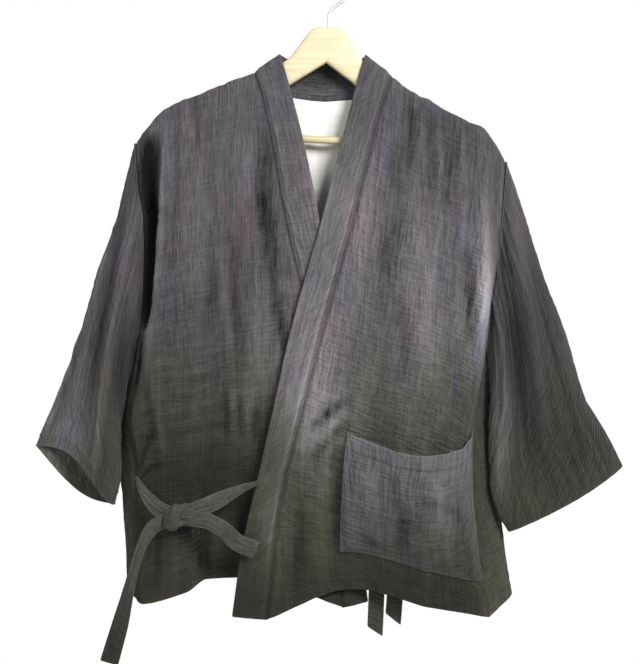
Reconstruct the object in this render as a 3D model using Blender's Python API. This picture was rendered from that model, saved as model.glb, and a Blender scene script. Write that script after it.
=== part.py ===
"""Short kimono jacket of double gauze on a wooden hanger, built as the separate pieces a maker cuts.

Run with: blender --background --python part.py
The work is in metres, +Z up, with the front facing -Y. The origin is the seat of the hanger's hook.
Lengths in the tables are millimetres, and MM turns them into metres.
Left and right are the wearer's: the wearer's left front lies over the right one.
"""
import math
from collections import namedtuple

import bpy
import numpy as np
from mathutils import Matrix, Vector

MM = 0.001

# ---- driving dimensions, mm ----
CLOTH = 1.6            # double gauze with its crinkle, as a wall
LINING = 1.2           # thin white gauze inside the back
BAND = 3.0             # the neckband is folded double over an interlining
STRAP = 2.2            # a tie is a strip folded to the middle and stitched
STRAP_WIDTH = 24.0
SEAM_GAP = 0.3         # between pieces that are sewn together
NECK_EASE = 0.8        # the band stops this much short of the points where the shoulders meet it
ARMPIT_THIN = 0.3      # a sleeve's wall there, as a share of its thickness elsewhere
ARMPIT_EASE = 2.0      # the sleeve stands off the point where the side seam starts, out and down
ROLL = 11.0            # radius at which the cloth turns over the hanger's top edge
HANGER_TILT = math.radians(3.0)
HANGER_THICK = 14.0
BAR_RADIUS = 5.3
WIRE_RADIUS = 1.7
HOOK_RADIUS = 24.0     # to the wire's centre

# ---- levels down the cloth, as shares of the way from the shoulder ridge to the hem ----
LEVELS = (0.0, 0.055, 0.29, 0.50, 0.64, 0.75, 0.89, 1.0)
#        ridge  yoke  chest armpit rib  waist  hip  hem
ARMPIT = 0.50
WAIST = 0.75
# An armhole line starts lower than the ridge, so its drops differ from the levels.
SIDE_DROPS = (0.0, 0.07, 0.215, 0.42, 0.60, 0.71, 0.86, 1.0)

ROWS = (0, .0015, .005, .0155, .03, .055, .10, .15, .22, .29, .36, .43, ARMPIT,
        .57, .64, .70, .75, .80, .85, .89, .94, 1)
FRONT_COLUMNS = (0, .04, .12, .20, .30, .40, .45, .50, .60, .70, .80, .90, 1)
BACK_COLUMNS = (0, .025, .05, .12, .20, .28, .36, .37, .38, .40, .42, .50,
                .58, .60, .62, .63, .64, .72, .80, .88, .95, .975, 1)
BAND_COLUMNS = (0, .33, .67, 1)
NECK = (0.36, 0.64)    # where the neckline starts and ends across the back

Ridge = namedtuple("Ridge", "x z")
RIDGE_RIGHT = (Ridge(-273, -239), Ridge(-254, -217), Ridge(-232, -192), Ridge(-176, -168),
               Ridge(-127, -149), Ridge(-106, -140))
RIDGE_LEFT = (Ridge(85, -146), Ridge(103, -161), Ridge(150, -187), Ridge(192, -209),
              Ridge(210, -217), Ridge(227, -237), Ridge(244, -265))

# One row for each line of cloth from the shoulder to the hem. across is its place from the side seam
# (0) to the neckband (1), hem the height of its lower end; x and y are its places at each level.
Line = namedtuple("Line", "across hem x y")
SIDE_RIGHT = Line(0, -866, x=(-273, -270, -262, -264, -275, -270, -271, -267),
                  y=(-8, -10, -18, -17, -18, -23, -27, -34))
SIDE_LEFT = Line(0, -887, x=(244, 241, 231, 213, 196, 194, 202, 213),
                 y=(-8, -10, -21, -25, -32, -38, -46, -52))
FRONT_RIGHT = (
    Line(.12, -871, x=(-231, -232, -235, -250, -270, -262, -259, -255),
         y=(-11, -14, -30, -38, -34, -30, -38, -46)),
    Line(.40, -855, x=(-176, -175, -176, -182, -188, -194, -194, -196),
         y=(-11, -13, -32, -40, -42, -44, -46, -46)),
    Line(.50, -842, x=(-158, -156, -154, -156, -160, -167, -171, -171),
         y=(-11, -13, -31, -38, -38, -33, -27, -25)),
    Line(.70, -841, x=(-127, -122, -107, -91, -86, -92, -101, -109),
         y=(-11, -13, -28, -33, -33, -28, -22, -20)),
    Line(1, -882, x=(-106, -94, -61, -25, -8, 1, 9, 16),
         y=(-11, -13, -24, -30, -30, -27, -22, -20)),
)
FRONT_LEFT = (
    Line(.12, -884, x=(208, 211, 204, 199, 184, 184, 191, 201),
         y=(-11, -14, -34, -44, -46, -46, -52, -58)),
    Line(.40, -874, x=(151, 152, 148, 142, 135, 131, 130, 133),
         y=(-11, -14, -36, -46, -49, -50, -52, -52)),
    Line(.70, -854, x=(103, 97, 72, 52, 36, 28, 26, 28),
         y=(-11, -14, -34, -44, -45, -44, -36, -30)),
    Line(1, -886, x=(85, 72, 27, -15, -41, -61, -77, -86),
         y=(-11, -14, -30, -42, -48, -52, -62, -66)),
)
BACK_HALF = 9          # y of an armhole's back half, until it closes to meet the armpit
BACK = (
    Line(.05, -859, x=(-254, -253, -247, -254, -274, -284, -288, -284),
         y=(11, 12, 15, 9, 0, -5, -6, -8)),
    Line(.20, -851, x=(-178, -178, -182, -190, -201, -213, -222, -228),
         y=(11, 14, 22, 28, 30, 32, 34, 34)),
    Line(.36, -843, x=(-106, -106, -105, -104, -104, -104, -104, -104),
         y=(11, 15, 24.8, 30.1, 32.9, 35.7, 37.8, 37.8)),
    Line(.37, -843, x=(-103, -103, -102, -101, -101, -101, -101, -101),
         y=(8.5, 15.5, 24.9, 30.2, 33, 35.8, 38, 38)),
    Line(.38, -843, x=(-98, -98, -97, -96, -96, -96, -96, -96),
         y=(11.5, 16, 25.1, 30.3, 33.1, 36, 38.1, 38.1)),
    Line(.42, -842, x=(-66, -66, -67, -67, -67, -67, -67, -67),
         y=(17, 19, 26, 31, 34, 37, 39, 39)),
    Line(.50, -842, x=(-8, -8, -8, -8, -8, -8, -8, -8),
         y=(22, 22, 27, 31, 34, 37, 39, 39)),
    Line(.58, -843, x=(48, 50, 52, 52, 52, 52, 52, 52),
         y=(17, 19, 26, 31, 34, 37, 39, 39)),
    Line(.62, -845, x=(78, 79, 80, 81, 83, 85, 88, 90),
         y=(11.5, 16, 25, 30.2, 33, 35.9, 38, 38)),
    Line(.63, -845, x=(82, 83, 84, 86, 88, 90, 93, 96),
         y=(8.5, 15.5, 24.8, 30, 32.8, 35.7, 37.8, 37.8)),
    Line(.64, -846, x=(85, 86, 87, 89, 91, 94, 97, 100),
         y=(11, 15, 24.6, 29.9, 32.6, 35.5, 37.6, 37.6)),
    Line(.80, -855, x=(154, 156, 155, 156, 165, 174, 185, 191),
         y=(11, 14, 22, 28, 30, 32, 34, 34)),
    Line(.95, -864, x=(227, 226, 216, 204, 206, 219, 238, 250),
         y=(11, 12, 14, 6, -2, -7, -10, -12)),
)
# Heights of the back neckline, by place across. It drops behind the hanger as soon as it has turned.
NECKLINE = {.37: -143, .38: -148.5, .42: -160, .50: -166, .58: -162, .62: -153.5, .63: -149}

# The neckband's free edge. place is how far down the front, or across the back, its seam lies.
Edge = namedtuple("Edge", "place x y z")
BAND_RIGHT = (
    Edge(0, -72, -1, -115.5), Edge(.005, -71.5, -5, -117), Edge(.0155, -70, -9.2, -123),
    Edge(.04, -58.5, -11.5, -163.6), Edge(.124, -43, -15, -224), Edge(.29, -17.5, -25, -350),
    Edge(.50, 4, -30, -511), Edge(.62, 19, -29, -610), Edge(.75, 28.5, -26, -706),
    Edge(.87, 39, -18, -797), Edge(1, 50, -8, -877),
)
BAND_BACK = (
    Edge(.37, -68, 5, -116.5), Edge(.38, -64, 9.6, -118), Edge(.42, -45, 13, -120.5),
    Edge(.50, -8, 17, -121.6), Edge(.58, 26, 13, -120.5), Edge(.62, 44.5, 9.6, -119),
    Edge(.63, 47, 5, -117.5),
)
BAND_LEFT = (
    Edge(0, 48.2, -1, -116.5), Edge(.005, 48, -5, -118), Edge(.0155, 46.5, -9.2, -124),
    Edge(.04, 34.6, -12.5, -166.6), Edge(.131, 16.4, -17, -237), Edge(.29, -14, -31, -357),
    Edge(.50, -57, -42, -513.5), Edge(.62, -77.5, -48, -608), Edge(.745, -97.5, -52, -697),
    Edge(.877, -118.5, -62, -791), Edge(1, -131.5, -66, -882),
)

# Rings down a sleeve, from the armhole to the cuff. top is the outer fold and under the fold below
# the arm; crest is how far round the front its foremost line lies; lift raises the front's lower edge
# and dip lowers the back's.
Ring = namedtuple("Ring", "along top_x top_z under_x under_z under_y front back crest lift dip")
SLEEVE_RIGHT = (
    Ring(.20, -299, -340, -284, -582, -13, -28, 14, .72, 0, 0),
    Ring(.40, -326, -427, -291, -621, -10, -34, 18, .74, 4, 2),
    Ring(.60, -353, -508, -294, -659, -7, -38, 20, .78, 8, 6),
    Ring(.80, -382, -588, -294, -697, -5, -40, 20, .82, 15, 12),
    Ring(1.0, -413, -662, -294, -734, -4, -38, 18, .84, 26, 24),
)
SLEEVE_LEFT = (
    Ring(.20, 270, -342, 219, -577, -29, -40, 12, .45, 0, 0),
    Ring(.40, 295, -423, 218, -626, -31, -46, 14, .42, 0, 0),
    Ring(.60, 322, -500, 217, -667, -32, -48, 14, .40, 0, 0),
    Ring(.80, 353, -590, 219, -716, -32, -46, 14, .38, 0, 0),
    Ring(.92, 382, -640, 228, -748, -32, -42, 12, .36, -2, 0),
    Ring(1.0, 407, -688, 243, -776, -31, -38, 10, .36, -4, -6),
)
SLEEVE_RINGS = (0, .07, .15, .25, .35, .48, .62, .75, .88, 1)

# The pocket's corners on the left front, as places across and down its cloth.
Corner = namedtuple("Corner", "across down")
POCKET = dict(top_side=Corner(.06, .645), top_band=Corner(.73, .690),
              low_side=Corner(.05, .932), low_band=Corner(.74, .926))
POCKET_SAG = 0.036     # how far the pocket's mouth droops between its corners, as a share of the drop
POCKET_CLEAR = 0.8     # between the pocket's sewn edges and the front, mm
POCKET_STANDS = 11.0   # how far the drooping mouth stands off the front, mm

# Ties. Each row is a point of the strap's middle, how far it is twisted from facing the front, and
# its width as a share of the full one.
Step = namedtuple("Step", "x y z twist width")
OUTER_ARM_FRONT = (Step(-97, -62, -704, 0, .30), Step(-112, -64, -709, 0, .55),
                   Step(-135, -68, -719, 5, .85), Step(-160, -72, -731, 0, .95),
                   Step(-188, -74, -742, 0, .80))
OUTER_ARM_SIDE = (Step(-266, -42, -700, 0, .30), Step(-258, -50, -712, 0, .60),
                  Step(-245, -60, -727, 5, .90), Step(-232, -68, -738, 0, .85),
                  Step(-216, -72, -745, 0, .80))
OUTER_END_DOWN = (Step(-216, -74, -751, 0, .70), Step(-235, -77, -760, 12, .80),
                  Step(-250, -76, -782, 35, .80), Step(-262, -72, -816, 42, .80),
                  Step(-272, -68, -852, 25, .85), Step(-283, -66, -895, 10, .95),
                  Step(-297, -66, -944, 0, 1.0))
OUTER_END_ACROSS = (Step(-194, -74, -750, 0, .70), Step(-167, -80, -752, -10, .85),
                    Step(-144, -83, -763, -8, .95), Step(-124, -82, -781, 0, 1.0),
                    Step(-101, -78, -791, 0, 1.0))
INNER_ARM_FRONT = (Step(31.5, -25, -703, 0, .35), Step(42, -18, -707, 0, .60),
                   Step(55, -13, -716, 0, .80), Step(74, -9, -724, 0, .70))
INNER_ARM_SIDE = (Step(186, -26, -700, 0, .35), Step(165, -19, -704, 0, .60),
                  Step(128, -12, -713, 0, .80), Step(92, -9, -724, 0, .70))
INNER_END_BAND = (Step(80, -14, -734, 0, .60), Step(74, -15, -752, 0, .75),
                  Step(68, -13, -790, 0, .85), Step(64, -10, -850, 6, .85),
                  Step(61, -8, -925, 10, .85))
INNER_END_SIDE = (Step(86, -6, -734, 0, .60), Step(90, -5, -752, 0, .75),
                  Step(92, -6, -790, 0, .85), Step(90, -8, -850, -6, .85),
                  Step(86, -8, -908, -10, .85))
Knot = namedtuple("Knot", "x y z long high deep lean")
OUTER_KNOT = Knot(-204, -74, -747, 25, 16, 12, math.radians(-22))
INNER_KNOT = Knot(83, -10, -728, 16, 13, 9, 0)

# Hanger outline in its own upright frame: half-span, top and bottom edge.
Station = namedtuple("Station", "x top bottom")
HANGER = (Station(0, -77, -126), Station(16, -77.5, -137), Station(26, -85, -144),
          Station(33, -95, -148.5), Station(42, -109, -155), Station(53, -123, -162),
          Station(70, -135, -170), Station(93, -146, -181), Station(111, -159, -190),
          Station(157, -183, -216), Station(185, -196, -238), Station(202, -204, -246),
          Station(214, -209, -247), Station(219, -216, -240))
BAR_HEIGHT = -234.0
BAR_HALF = 196.0
STEM_TOP = -56.0
STEM_FOOT = -98.0

SLATE = (0.115, 0.105, 0.118)
COLOURS = dict(cloth=SLATE, band=(0.105, 0.098, 0.108), tie=(0.095, 0.095, 0.092),
               lining=(0.82, 0.82, 0.78), wood=(0.80, 0.66, 0.42), steel=(0.75, 0.75, 0.76))


# ---------------------------------------------------------------- curves and grids
def pchip(places, values, at):
    """Smooth curve through values at places that never overshoots them; values may have columns."""
    places = np.asarray(places, float)
    values = np.asarray(values, float)
    at = np.atleast_1d(np.asarray(at, float))
    flat = values.ndim == 1
    values = values[:, None] if flat else values
    step = np.diff(places)[:, None]
    rise = np.diff(values, axis=0) / step
    slope = np.zeros_like(values)
    slope[0], slope[-1] = rise[0], rise[-1]
    if len(places) > 2:
        before, after = rise[:-1], rise[1:]
        w1, w2 = 2 * step[1:] + step[:-1], step[1:] + 2 * step[:-1]
        same = before * after > 0
        safe_before, safe_after = np.where(same, before, 1), np.where(same, after, 1)
        slope[1:-1] = np.where(same, (w1 + w2) / (w1 / safe_before + w2 / safe_after), 0)
    k = np.clip(np.searchsorted(places, at, side="right") - 1, 0, len(step) - 1)
    h = step[k]
    t = ((at - places[k])[:, None]) / h
    found = ((1 + 2 * t) * (1 - t) ** 2 * values[k] + t * (1 - t) ** 2 * h * slope[k]
             + t * t * (3 - 2 * t) * values[k + 1] + t * t * (t - 1) * h * slope[k + 1])
    return found[:, 0] if flat else found


def rolled(height, top):
    """0 on the shoulder ridge and 1 where the cloth has turned down over the hanger."""
    drop = np.clip((top - height) / ROLL, 0, 1)
    return np.sqrt(1 - (1 - drop) ** 2)


def ridge_height(x):
    """Height of the shoulder ridge at x, on either side of the neck."""
    table = RIDGE_RIGHT if np.mean(x) < 0 else RIDGE_LEFT
    return pchip([r.x for r in table], [r.z for r in table], x)


def line_points(line, rows, top, drops=LEVELS, turned=True):
    """The points of a line of cloth at the rows, as an array of x, y, z in mm."""
    x = pchip(LEVELS, line.x, rows)
    y = pchip(LEVELS, line.y, rows)
    z = top + (line.hem - top) * pchip(LEVELS, drops, rows)
    if turned:
        y = y * rolled(z, top)
    return np.stack([x, y, z], 1)


def loft(across, lines, columns):
    """A grid [row, column, xyz] through lines that stand at across."""
    lines = np.asarray(lines)
    rows = lines.shape[1]
    table = lines.reshape(len(lines), rows * 3)
    return pchip(across, table, columns).reshape(len(columns), rows, 3).transpose(1, 0, 2)


def courses(grid, axis, closed=False):
    """The way the grid runs along an axis at each point: the mean of the two steps that meet there."""
    steps = np.diff(grid, axis=axis)
    if closed:
        steps = np.roll(grid, -1, axis) - grid
    steps = steps / np.maximum(np.linalg.norm(steps, axis=2, keepdims=True), 1e-9)
    if closed:
        return steps + np.roll(steps, 1, axis)
    before = np.concatenate([steps.take([0], axis), steps], axis)
    after = np.concatenate([steps, steps.take([-1], axis)], axis)
    return before + after


def normals(grid, outward, closed=False):
    """Unit normals of a grid, facing outward on the whole."""
    n = np.cross(courses(grid, 1, closed), courses(grid, 0))
    n /= np.maximum(np.linalg.norm(n, axis=2, keepdims=True), 1e-9)
    return -n if (n * outward).sum(2).mean() < 0 else n


def share(first, at_first, second, at_second):
    """Both pieces take one direction of thickness along a seam, so that neither enters the other."""
    both = first[at_first] + second[at_second]
    both /= np.maximum(np.linalg.norm(both, axis=-1, keepdims=True), 1e-9)
    first[at_first] = both
    second[at_second] = both


# ---------------------------------------------------------------- Blender objects
def material(name):
    """The named material, made on its first use."""
    found = bpy.data.materials.get(name)
    if found is None:
        found = bpy.data.materials.new(name)
        found.use_nodes = True
        shader = found.node_tree.nodes["Principled BSDF"]
        shader.inputs["Base Color"].default_value = (*COLOURS[name], 1)
        shader.inputs["Roughness"].default_value = 0.25 if name == "steel" else 0.85
        shader.inputs["Metallic"].default_value = 1.0 if name == "steel" else 0.0
    return found


def add_object(name, vertices, faces, finish):
    """Links a mesh object; vertices are in mm."""
    mesh = bpy.data.meshes.new(name)
    mesh.from_pydata([tuple(float(c) * MM for c in v) for v in vertices], [], faces)
    mesh.materials.append(material(finish))
    obj = bpy.data.objects.new(name, mesh)
    bpy.context.scene.collection.objects.link(obj)
    mesh.update()
    mesh.shade_smooth()
    return obj


def pulled_back(grid, edges, by):
    """The grid with the named edges moved into the piece by that distance."""
    grid = grid.copy()
    ends = dict(top=(0, 1, 0), bottom=(-1, -2, 0), first=(0, 1, 1), last=(-1, -2, 1))
    for edge in edges:
        end, inner, axis = ends[edge]
        rim = grid[end] if axis == 0 else grid[:, end]
        inside = grid[inner] if axis == 0 else grid[:, inner]
        step = inside - rim
        rim += step / np.maximum(np.linalg.norm(step, axis=1, keepdims=True), 1e-9) * by
    return grid


def wall(name, grid, direction, thick, finish, closed=False):
    """A closed wall of that thickness on both sides of a grid of points."""
    rows, columns = grid.shape[:2]
    half = direction * thick / 2
    vertices = np.concatenate([(grid + half).reshape(-1, 3), (grid - half).reshape(-1, 3)])
    inner = rows * columns

    def at(row, column, side=0):
        return side * inner + row * columns + column % columns

    faces = []
    spans = columns if closed else columns - 1
    for r in range(rows - 1):
        for c in range(spans):
            corners = [(r, c), (r + 1, c), (r + 1, c + 1), (r, c + 1)]
            places = [grid[i, j % columns] for i, j in corners]
            if np.linalg.norm(places[0] - places[2]) > np.linalg.norm(places[1] - places[3]):
                corners = corners[1:] + corners[:1]
            for one, two, three in (corners[:3], (corners[0], corners[2], corners[3])):
                faces.append((at(*one), at(*two), at(*three)))
                faces.append((at(*one, 1), at(*three, 1), at(*two, 1)))

    def close_edge(a, b):
        """The edge's face between two points, split the same way on both sides of a seam."""
        first, second = grid[a[0], a[1] % columns], grid[b[0], b[1] % columns]
        a_outer, a_inner, b_outer, b_inner = at(*a), at(*a, 1), at(*b), at(*b, 1)
        if first[2] - first[0] > second[2] - second[0]:
            faces.extend([(a_outer, b_outer, b_inner), (a_outer, b_inner, a_inner)])
        else:
            faces.extend([(a_outer, b_outer, a_inner), (b_outer, b_inner, a_inner)])

    for c in range(spans):
        close_edge((0, c), (0, c + 1))
        close_edge((rows - 1, c + 1), (rows - 1, c))
    if not closed:
        for r in range(rows - 1):
            close_edge((r + 1, 0), (r, 0))
            close_edge((r, columns - 1), (r + 1, columns - 1))
    first = faces[0]
    a, b, c = (vertices[first[i]] for i in (0, 1, 2))
    if np.dot(np.cross(b - a, c - a), direction[0, 0]) < 0:
        faces = [tuple(reversed(face)) for face in faces]
    return add_object(name, vertices, faces, finish)


def parted_wall(name, grid, direction, row_cuts, column_cuts):
    """A panel's wall in simpler pieces, parted at those rows and columns by the gap of a seam."""
    heights = ("upper", "lower") if row_cuts else ("",)
    sides = ("right", "left") if column_cuts else ("",)
    rows = (0, *row_cuts, grid.shape[0] - 1)
    columns = (0, *column_cuts, grid.shape[1] - 1)
    for i, height in enumerate(heights):
        for j, side in enumerate(sides):
            block = slice(rows[i], rows[i + 1] + 1), slice(columns[j], columns[j + 1] + 1)
            cuts = [edge for edge, cut in (("top", i > 0), ("bottom", i + 1 < len(heights)),
                                           ("first", j > 0), ("last", j + 1 < len(sides))) if cut]
            piece = "_".join(word for word in (name, height, side) if word)
            wall(piece, pulled_back(grid[block], cuts, SEAM_GAP / 2), direction[block], CLOTH,
                 "cloth")


def cut_away(obj, cutter):
    """Takes the cutter's shape out of an object and hides the cutter."""
    cutter.hide_render = True
    cutter.display_type = "WIRE"
    cut = obj.modifiers.new("clear_of_" + cutter.name, "BOOLEAN")
    cut.operation = "DIFFERENCE"
    cut.solver = "EXACT"
    cut.object = cutter


# ---------------------------------------------------------------- the body's panels
class Panel:
    """A grid of points with the direction in which its cloth has thickness."""

    def __init__(self, grid, outward, closed=False):
        self.grid = grid
        self.direction = normals(grid, np.array(outward, float), closed)
        self.closed = closed


def side_points(side, half):
    """The front or back edge of the body's side: an armhole, then the side seam below it."""
    line = SIDE_RIGHT if side == "right" else SIDE_LEFT
    top = float(ridge_height(line.x[0])[0])
    points = line_points(line, ROWS, top, SIDE_DROPS)
    if half == "back":
        closing = np.minimum(np.array(ROWS) / ARMPIT, 1) ** 6
        points[:, 1] = points[:, 1] * closing + BACK_HALF * rolled(points[:, 2], top) * (1 - closing)
    return points


def front_panel(side):
    lines = FRONT_RIGHT if side == "right" else FRONT_LEFT
    across = [0] + [line.across for line in lines]
    points = [side_points(side, "front")]
    points += [line_points(line, ROWS, float(ridge_height(line.x[0])[0])) for line in lines]
    grid = loft(across, points, FRONT_COLUMNS)
    settle_on_ridge(grid, slice(None))
    return Panel(grid, (0, -1, 0))


def settle_on_ridge(grid, columns):
    """Puts the top row on the shoulder ridge and eases the rows under it to match."""
    top = grid[0, columns]
    rise = ridge_height(top[:, 0]) - top[:, 2]
    ease = np.clip(1 - np.array(ROWS) / 0.25, 0, 1) ** 2
    grid[:, columns, 2] += ease[:, None] * rise[None, :]


def back_panel():
    across, points = [0], [side_points("right", "back")]
    for line in BACK:
        neck = NECKLINE.get(line.across)
        top = float(ridge_height(line.x[0])[0]) if neck is None else neck
        across.append(line.across)
        points.append(line_points(line, ROWS, top, turned=neck is None))
    across.append(1)
    points.append(side_points("left", "back"))
    grid = loft(across, points, BACK_COLUMNS)
    places = np.array(BACK_COLUMNS)
    settle_on_ridge(grid, places <= NECK[0])
    settle_on_ridge(grid, places >= NECK[1])
    return Panel(grid, (0, 1, 0))


def neckband(front_right, back, front_left):
    """The band's grid: its seam runs up the right front, round the neck and down the left front."""
    places = np.array(BACK_COLUMNS)
    round_neck = (places > NECK[0]) & (places < NECK[1])
    seam = np.concatenate([front_right.grid[::-1, -1], back.grid[0, round_neck],
                           front_left.grid[:, -1]])
    free = np.concatenate([edge_points(BAND_RIGHT, ROWS)[::-1],
                           edge_points(BAND_BACK, places[round_neck]),
                           edge_points(BAND_LEFT, ROWS)])
    grid = np.stack([seam + (free - seam) * out for out in BAND_COLUMNS], 1)
    return Panel(grid, (0, -1, 0)), round_neck


def edge_points(table, places):
    return pchip([e.place for e in table], [(e.x, e.y, e.z) for e in table], places)


def sleeve(side):
    """A tube of cloth from the armhole to the cuff: round the front from the outer fold, then back."""
    rings = SLEEVE_RIGHT if side == "right" else SLEEVE_LEFT
    count = ROWS.index(ARMPIT) + 1
    front, back = side_points(side, "front")[:count], side_points(side, "back")[:count]
    round_way = np.arange(count) / (count - 1)
    spaced = np.array(ROWS[:count]) / ARMPIT
    places, loops = [0], [np.concatenate([front, back[-2:0:-1]])]
    for ring in rings:
        mix = min(1, ring.along / .6)
        w = (1 - mix) * spaced + mix * (0.25 * spaced + 0.75 * round_way)
        loops.append(ring_loop(ring, w))
        places.append(ring.along)
    table = np.array(loops).reshape(len(loops), -1)
    return Panel(pchip(places, table, SLEEVE_RINGS).reshape(len(SLEEVE_RINGS), -1, 3),
                 (-1 if side == "right" else 1, 0, 0), closed=True)


def ring_loop(ring, w):
    """A closed loop of cloth: w runs from the outer fold round the front to the fold under the arm."""
    base = np.stack([ring.top_x + (ring.under_x - ring.top_x) * w,
                     ring.under_y * w,
                     ring.top_z + (ring.under_z - ring.top_z) * w], 1)
    skew = w ** (math.log(0.5) / math.log(ring.crest))
    front_swell = np.sin(math.pi * skew) ** 0.6
    back_swell = np.sin(math.pi * w) ** 0.6
    front, back = base.copy(), base.copy()
    front[:, 1] += (ring.front - ring.under_y * ring.crest) * front_swell
    front[:, 2] += ring.lift * np.sin(math.pi * w)
    back[:, 1] += ring.back * back_swell
    back[:, 2] -= ring.dip * np.sin(math.pi * w)
    return np.concatenate([front, back[-2:0:-1]])


def levelled(direction):
    """Thickness turned into the plane y = 0, in which the fronts meet the back along the shoulder."""
    direction = direction * (1, 0, 1)
    return direction / np.linalg.norm(direction, axis=-1, keepdims=True)


def build_body():
    """Makes the cloth's panels, and gives both pieces of each seam one direction of thickness."""
    fronts = {side: front_panel(side) for side in ("right", "left")}
    back = back_panel()
    band, round_neck = neckband(fronts["right"], back, fronts["left"])
    sleeves = {side: sleeve(side) for side in ("right", "left")}
    armpit, rows = ROWS.index(ARMPIT), len(ROWS)
    places = np.array(BACK_COLUMNS)
    above, below = slice(1, armpit), slice(armpit, rows)
    share(band.direction, (slice(rows, -rows), 0), back.direction, (0, round_neck))
    for side, seam, band_seam, shoulder, neck in (
            ("right", 0, slice(rows - 1, None, -1), places <= NECK[0], BACK_COLUMNS.index(NECK[0])),
            ("left", -1, slice(-rows, None), places >= NECK[1], BACK_COLUMNS.index(NECK[1]))):
        front, behind, tube = fronts[side].direction, back.direction, sleeves[side].direction
        rear = [tube.shape[1] - k for k in range(1, armpit)]
        share(front, (above, 0), tube, (0, above))
        share(behind, (above, seam), tube, (0, rear))
        share(front, (below, 0), behind, (below, seam))
        share(front, (slice(None), -1), band.direction, (band_seam, 0))
        front[0] = levelled(front[0])
        behind[0, shoulder] = levelled(behind[0, shoulder])
        front[0, 0] = behind[0, seam] = tube[0, 0] = levelled(front[0, 0] + behind[0, seam])
        tip = rows - 1 if side == "right" else -rows
        front[0, -1] = behind[0, neck] = levelled(front[0, -1] + behind[0, neck])
        band.direction[tip, 0] = front[0, -1]

    pull = SEAM_GAP / 2
    for side in ("right", "left"):
        grid = pulled_back(fronts[side].grid, ("top", "first", "last"), pull)
        parted_wall("front_" + side, grid, fronts[side].direction, (armpit,), ())
        tube = sleeves[side]
        grid = pulled_back(tube.grid, ("top",), pull)
        near_armpit = np.clip(1 - np.abs(np.arange(grid.shape[1]) - armpit) / 3, 0, 1)[:, None]
        aside = (-1 if side == "right" else 1, 0, -1)
        grid[0] += np.array(aside) * ARMPIT_EASE * near_armpit
        tube.direction[0, armpit] *= ARMPIT_THIN
        wall("sleeve_" + side, grid, tube.direction, CLOTH, "cloth", closed=True)
    grid = pulled_back(back.grid, ("top", "first", "last"), pull)
    parted_wall("back", grid, back.direction, (armpit,), (BACK_COLUMNS.index(0.50),))
    clear = np.full((len(band.grid), 1), pull)
    clear[[rows - 1, -rows]] += NECK_EASE
    wall("neckband", pulled_back(band.grid, ("first",), clear), band.direction, BAND, "band")
    return fronts, back


def build_lining(back):
    """White gauze inside the back, from the neckline to the armpits, just in front of the panel."""
    places, rows = np.array(BACK_COLUMNS), np.array(ROWS)
    kept_columns = (places >= .12) & (places <= .88)
    kept_rows = (rows >= .0155) & (rows <= ARMPIT)
    off = (CLOTH + LINING) / 2 + SEAM_GAP + 0.2
    grid = back.grid[kept_rows][:, kept_columns]
    direction = back.direction[kept_rows][:, kept_columns]
    wall("back_lining", grid - direction * off, direction, LINING, "lining")


def on_panel(panel, across, down):
    """The point and direction of a front panel at places across and down, on its flat facets."""
    column = min(int(np.searchsorted(FRONT_COLUMNS, across, "right")) - 1, len(FRONT_COLUMNS) - 2)
    row = min(int(np.searchsorted(ROWS, down, "right")) - 1, len(ROWS) - 2)
    u = (across - FRONT_COLUMNS[column]) / (FRONT_COLUMNS[column + 1] - FRONT_COLUMNS[column])
    v = (down - ROWS[row]) / (ROWS[row + 1] - ROWS[row])
    found = []
    for table in (panel.grid, panel.direction):
        upper = table[row, column] * (1 - u) + table[row, column + 1] * u
        lower = table[row + 1, column] * (1 - u) + table[row + 1, column + 1] * u
        found.append(upper * (1 - v) + lower * v)
    return found[0], found[1] / np.linalg.norm(found[1])


def build_pocket(front):
    """A patch pocket on the left front: its points are the front's, moved out."""
    count_across, count_down = 10, 9
    grid = np.zeros((count_down, count_across, 3))
    direction = np.zeros_like(grid)
    for r in range(count_down):
        for c in range(count_across):
            a, d = c / (count_across - 1), r / (count_down - 1)
            top = POCKET["top_side"], POCKET["top_band"]
            low = POCKET["low_side"], POCKET["low_band"]
            across = ((1 - d) * (top[0].across + (top[1].across - top[0].across) * a)
                      + d * (low[0].across + (low[1].across - low[0].across) * a))
            sag = POCKET_SAG * math.sin(math.pi * a) ** 0.8 * (1 - d) ** 1.5
            down = ((1 - d) * (top[0].down + (top[1].down - top[0].down) * a)
                    + d * (low[0].down + (low[1].down - low[0].down) * a)) + sag
            point, normal = on_panel(front, across, down)
            stands = POCKET_STANDS * math.sin(math.pi * a) ** 0.7 * (1 - d ** 1.6)
            grid[r, c] = point + normal * (CLOTH + POCKET_CLEAR + stands)
            direction[r, c] = normal
    wall("pocket", grid, direction, CLOTH, "cloth")


# ---------------------------------------------------------------- ties
def strap_frame(steps, count):
    """Centres, width directions and widths of a strap at evenly spaced places along it."""
    table = np.array([(s.x, s.y, s.z, s.twist, s.width) for s in steps], float)
    length = np.linalg.norm(np.diff(table[:, :3], axis=0), axis=1)
    along = np.concatenate([[0], np.cumsum(length)]) / length.sum()
    path = pchip(along, table, np.linspace(0, 1, count))
    centre = path[:, :3]
    tangent = np.gradient(centre, axis=0)
    tangent /= np.linalg.norm(tangent, axis=1, keepdims=True)
    wide = np.cross(tangent, (0, -1, 0))
    wide /= np.linalg.norm(wide, axis=1, keepdims=True)
    facing = np.cross(wide, tangent)
    twist = np.radians(path[:, 3])[:, None]
    wide, facing = (wide * np.cos(twist) + facing * np.sin(twist),
                    facing * np.cos(twist) - wide * np.sin(twist))
    return centre, wide, facing, path[:, 4] * STRAP_WIDTH


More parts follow.
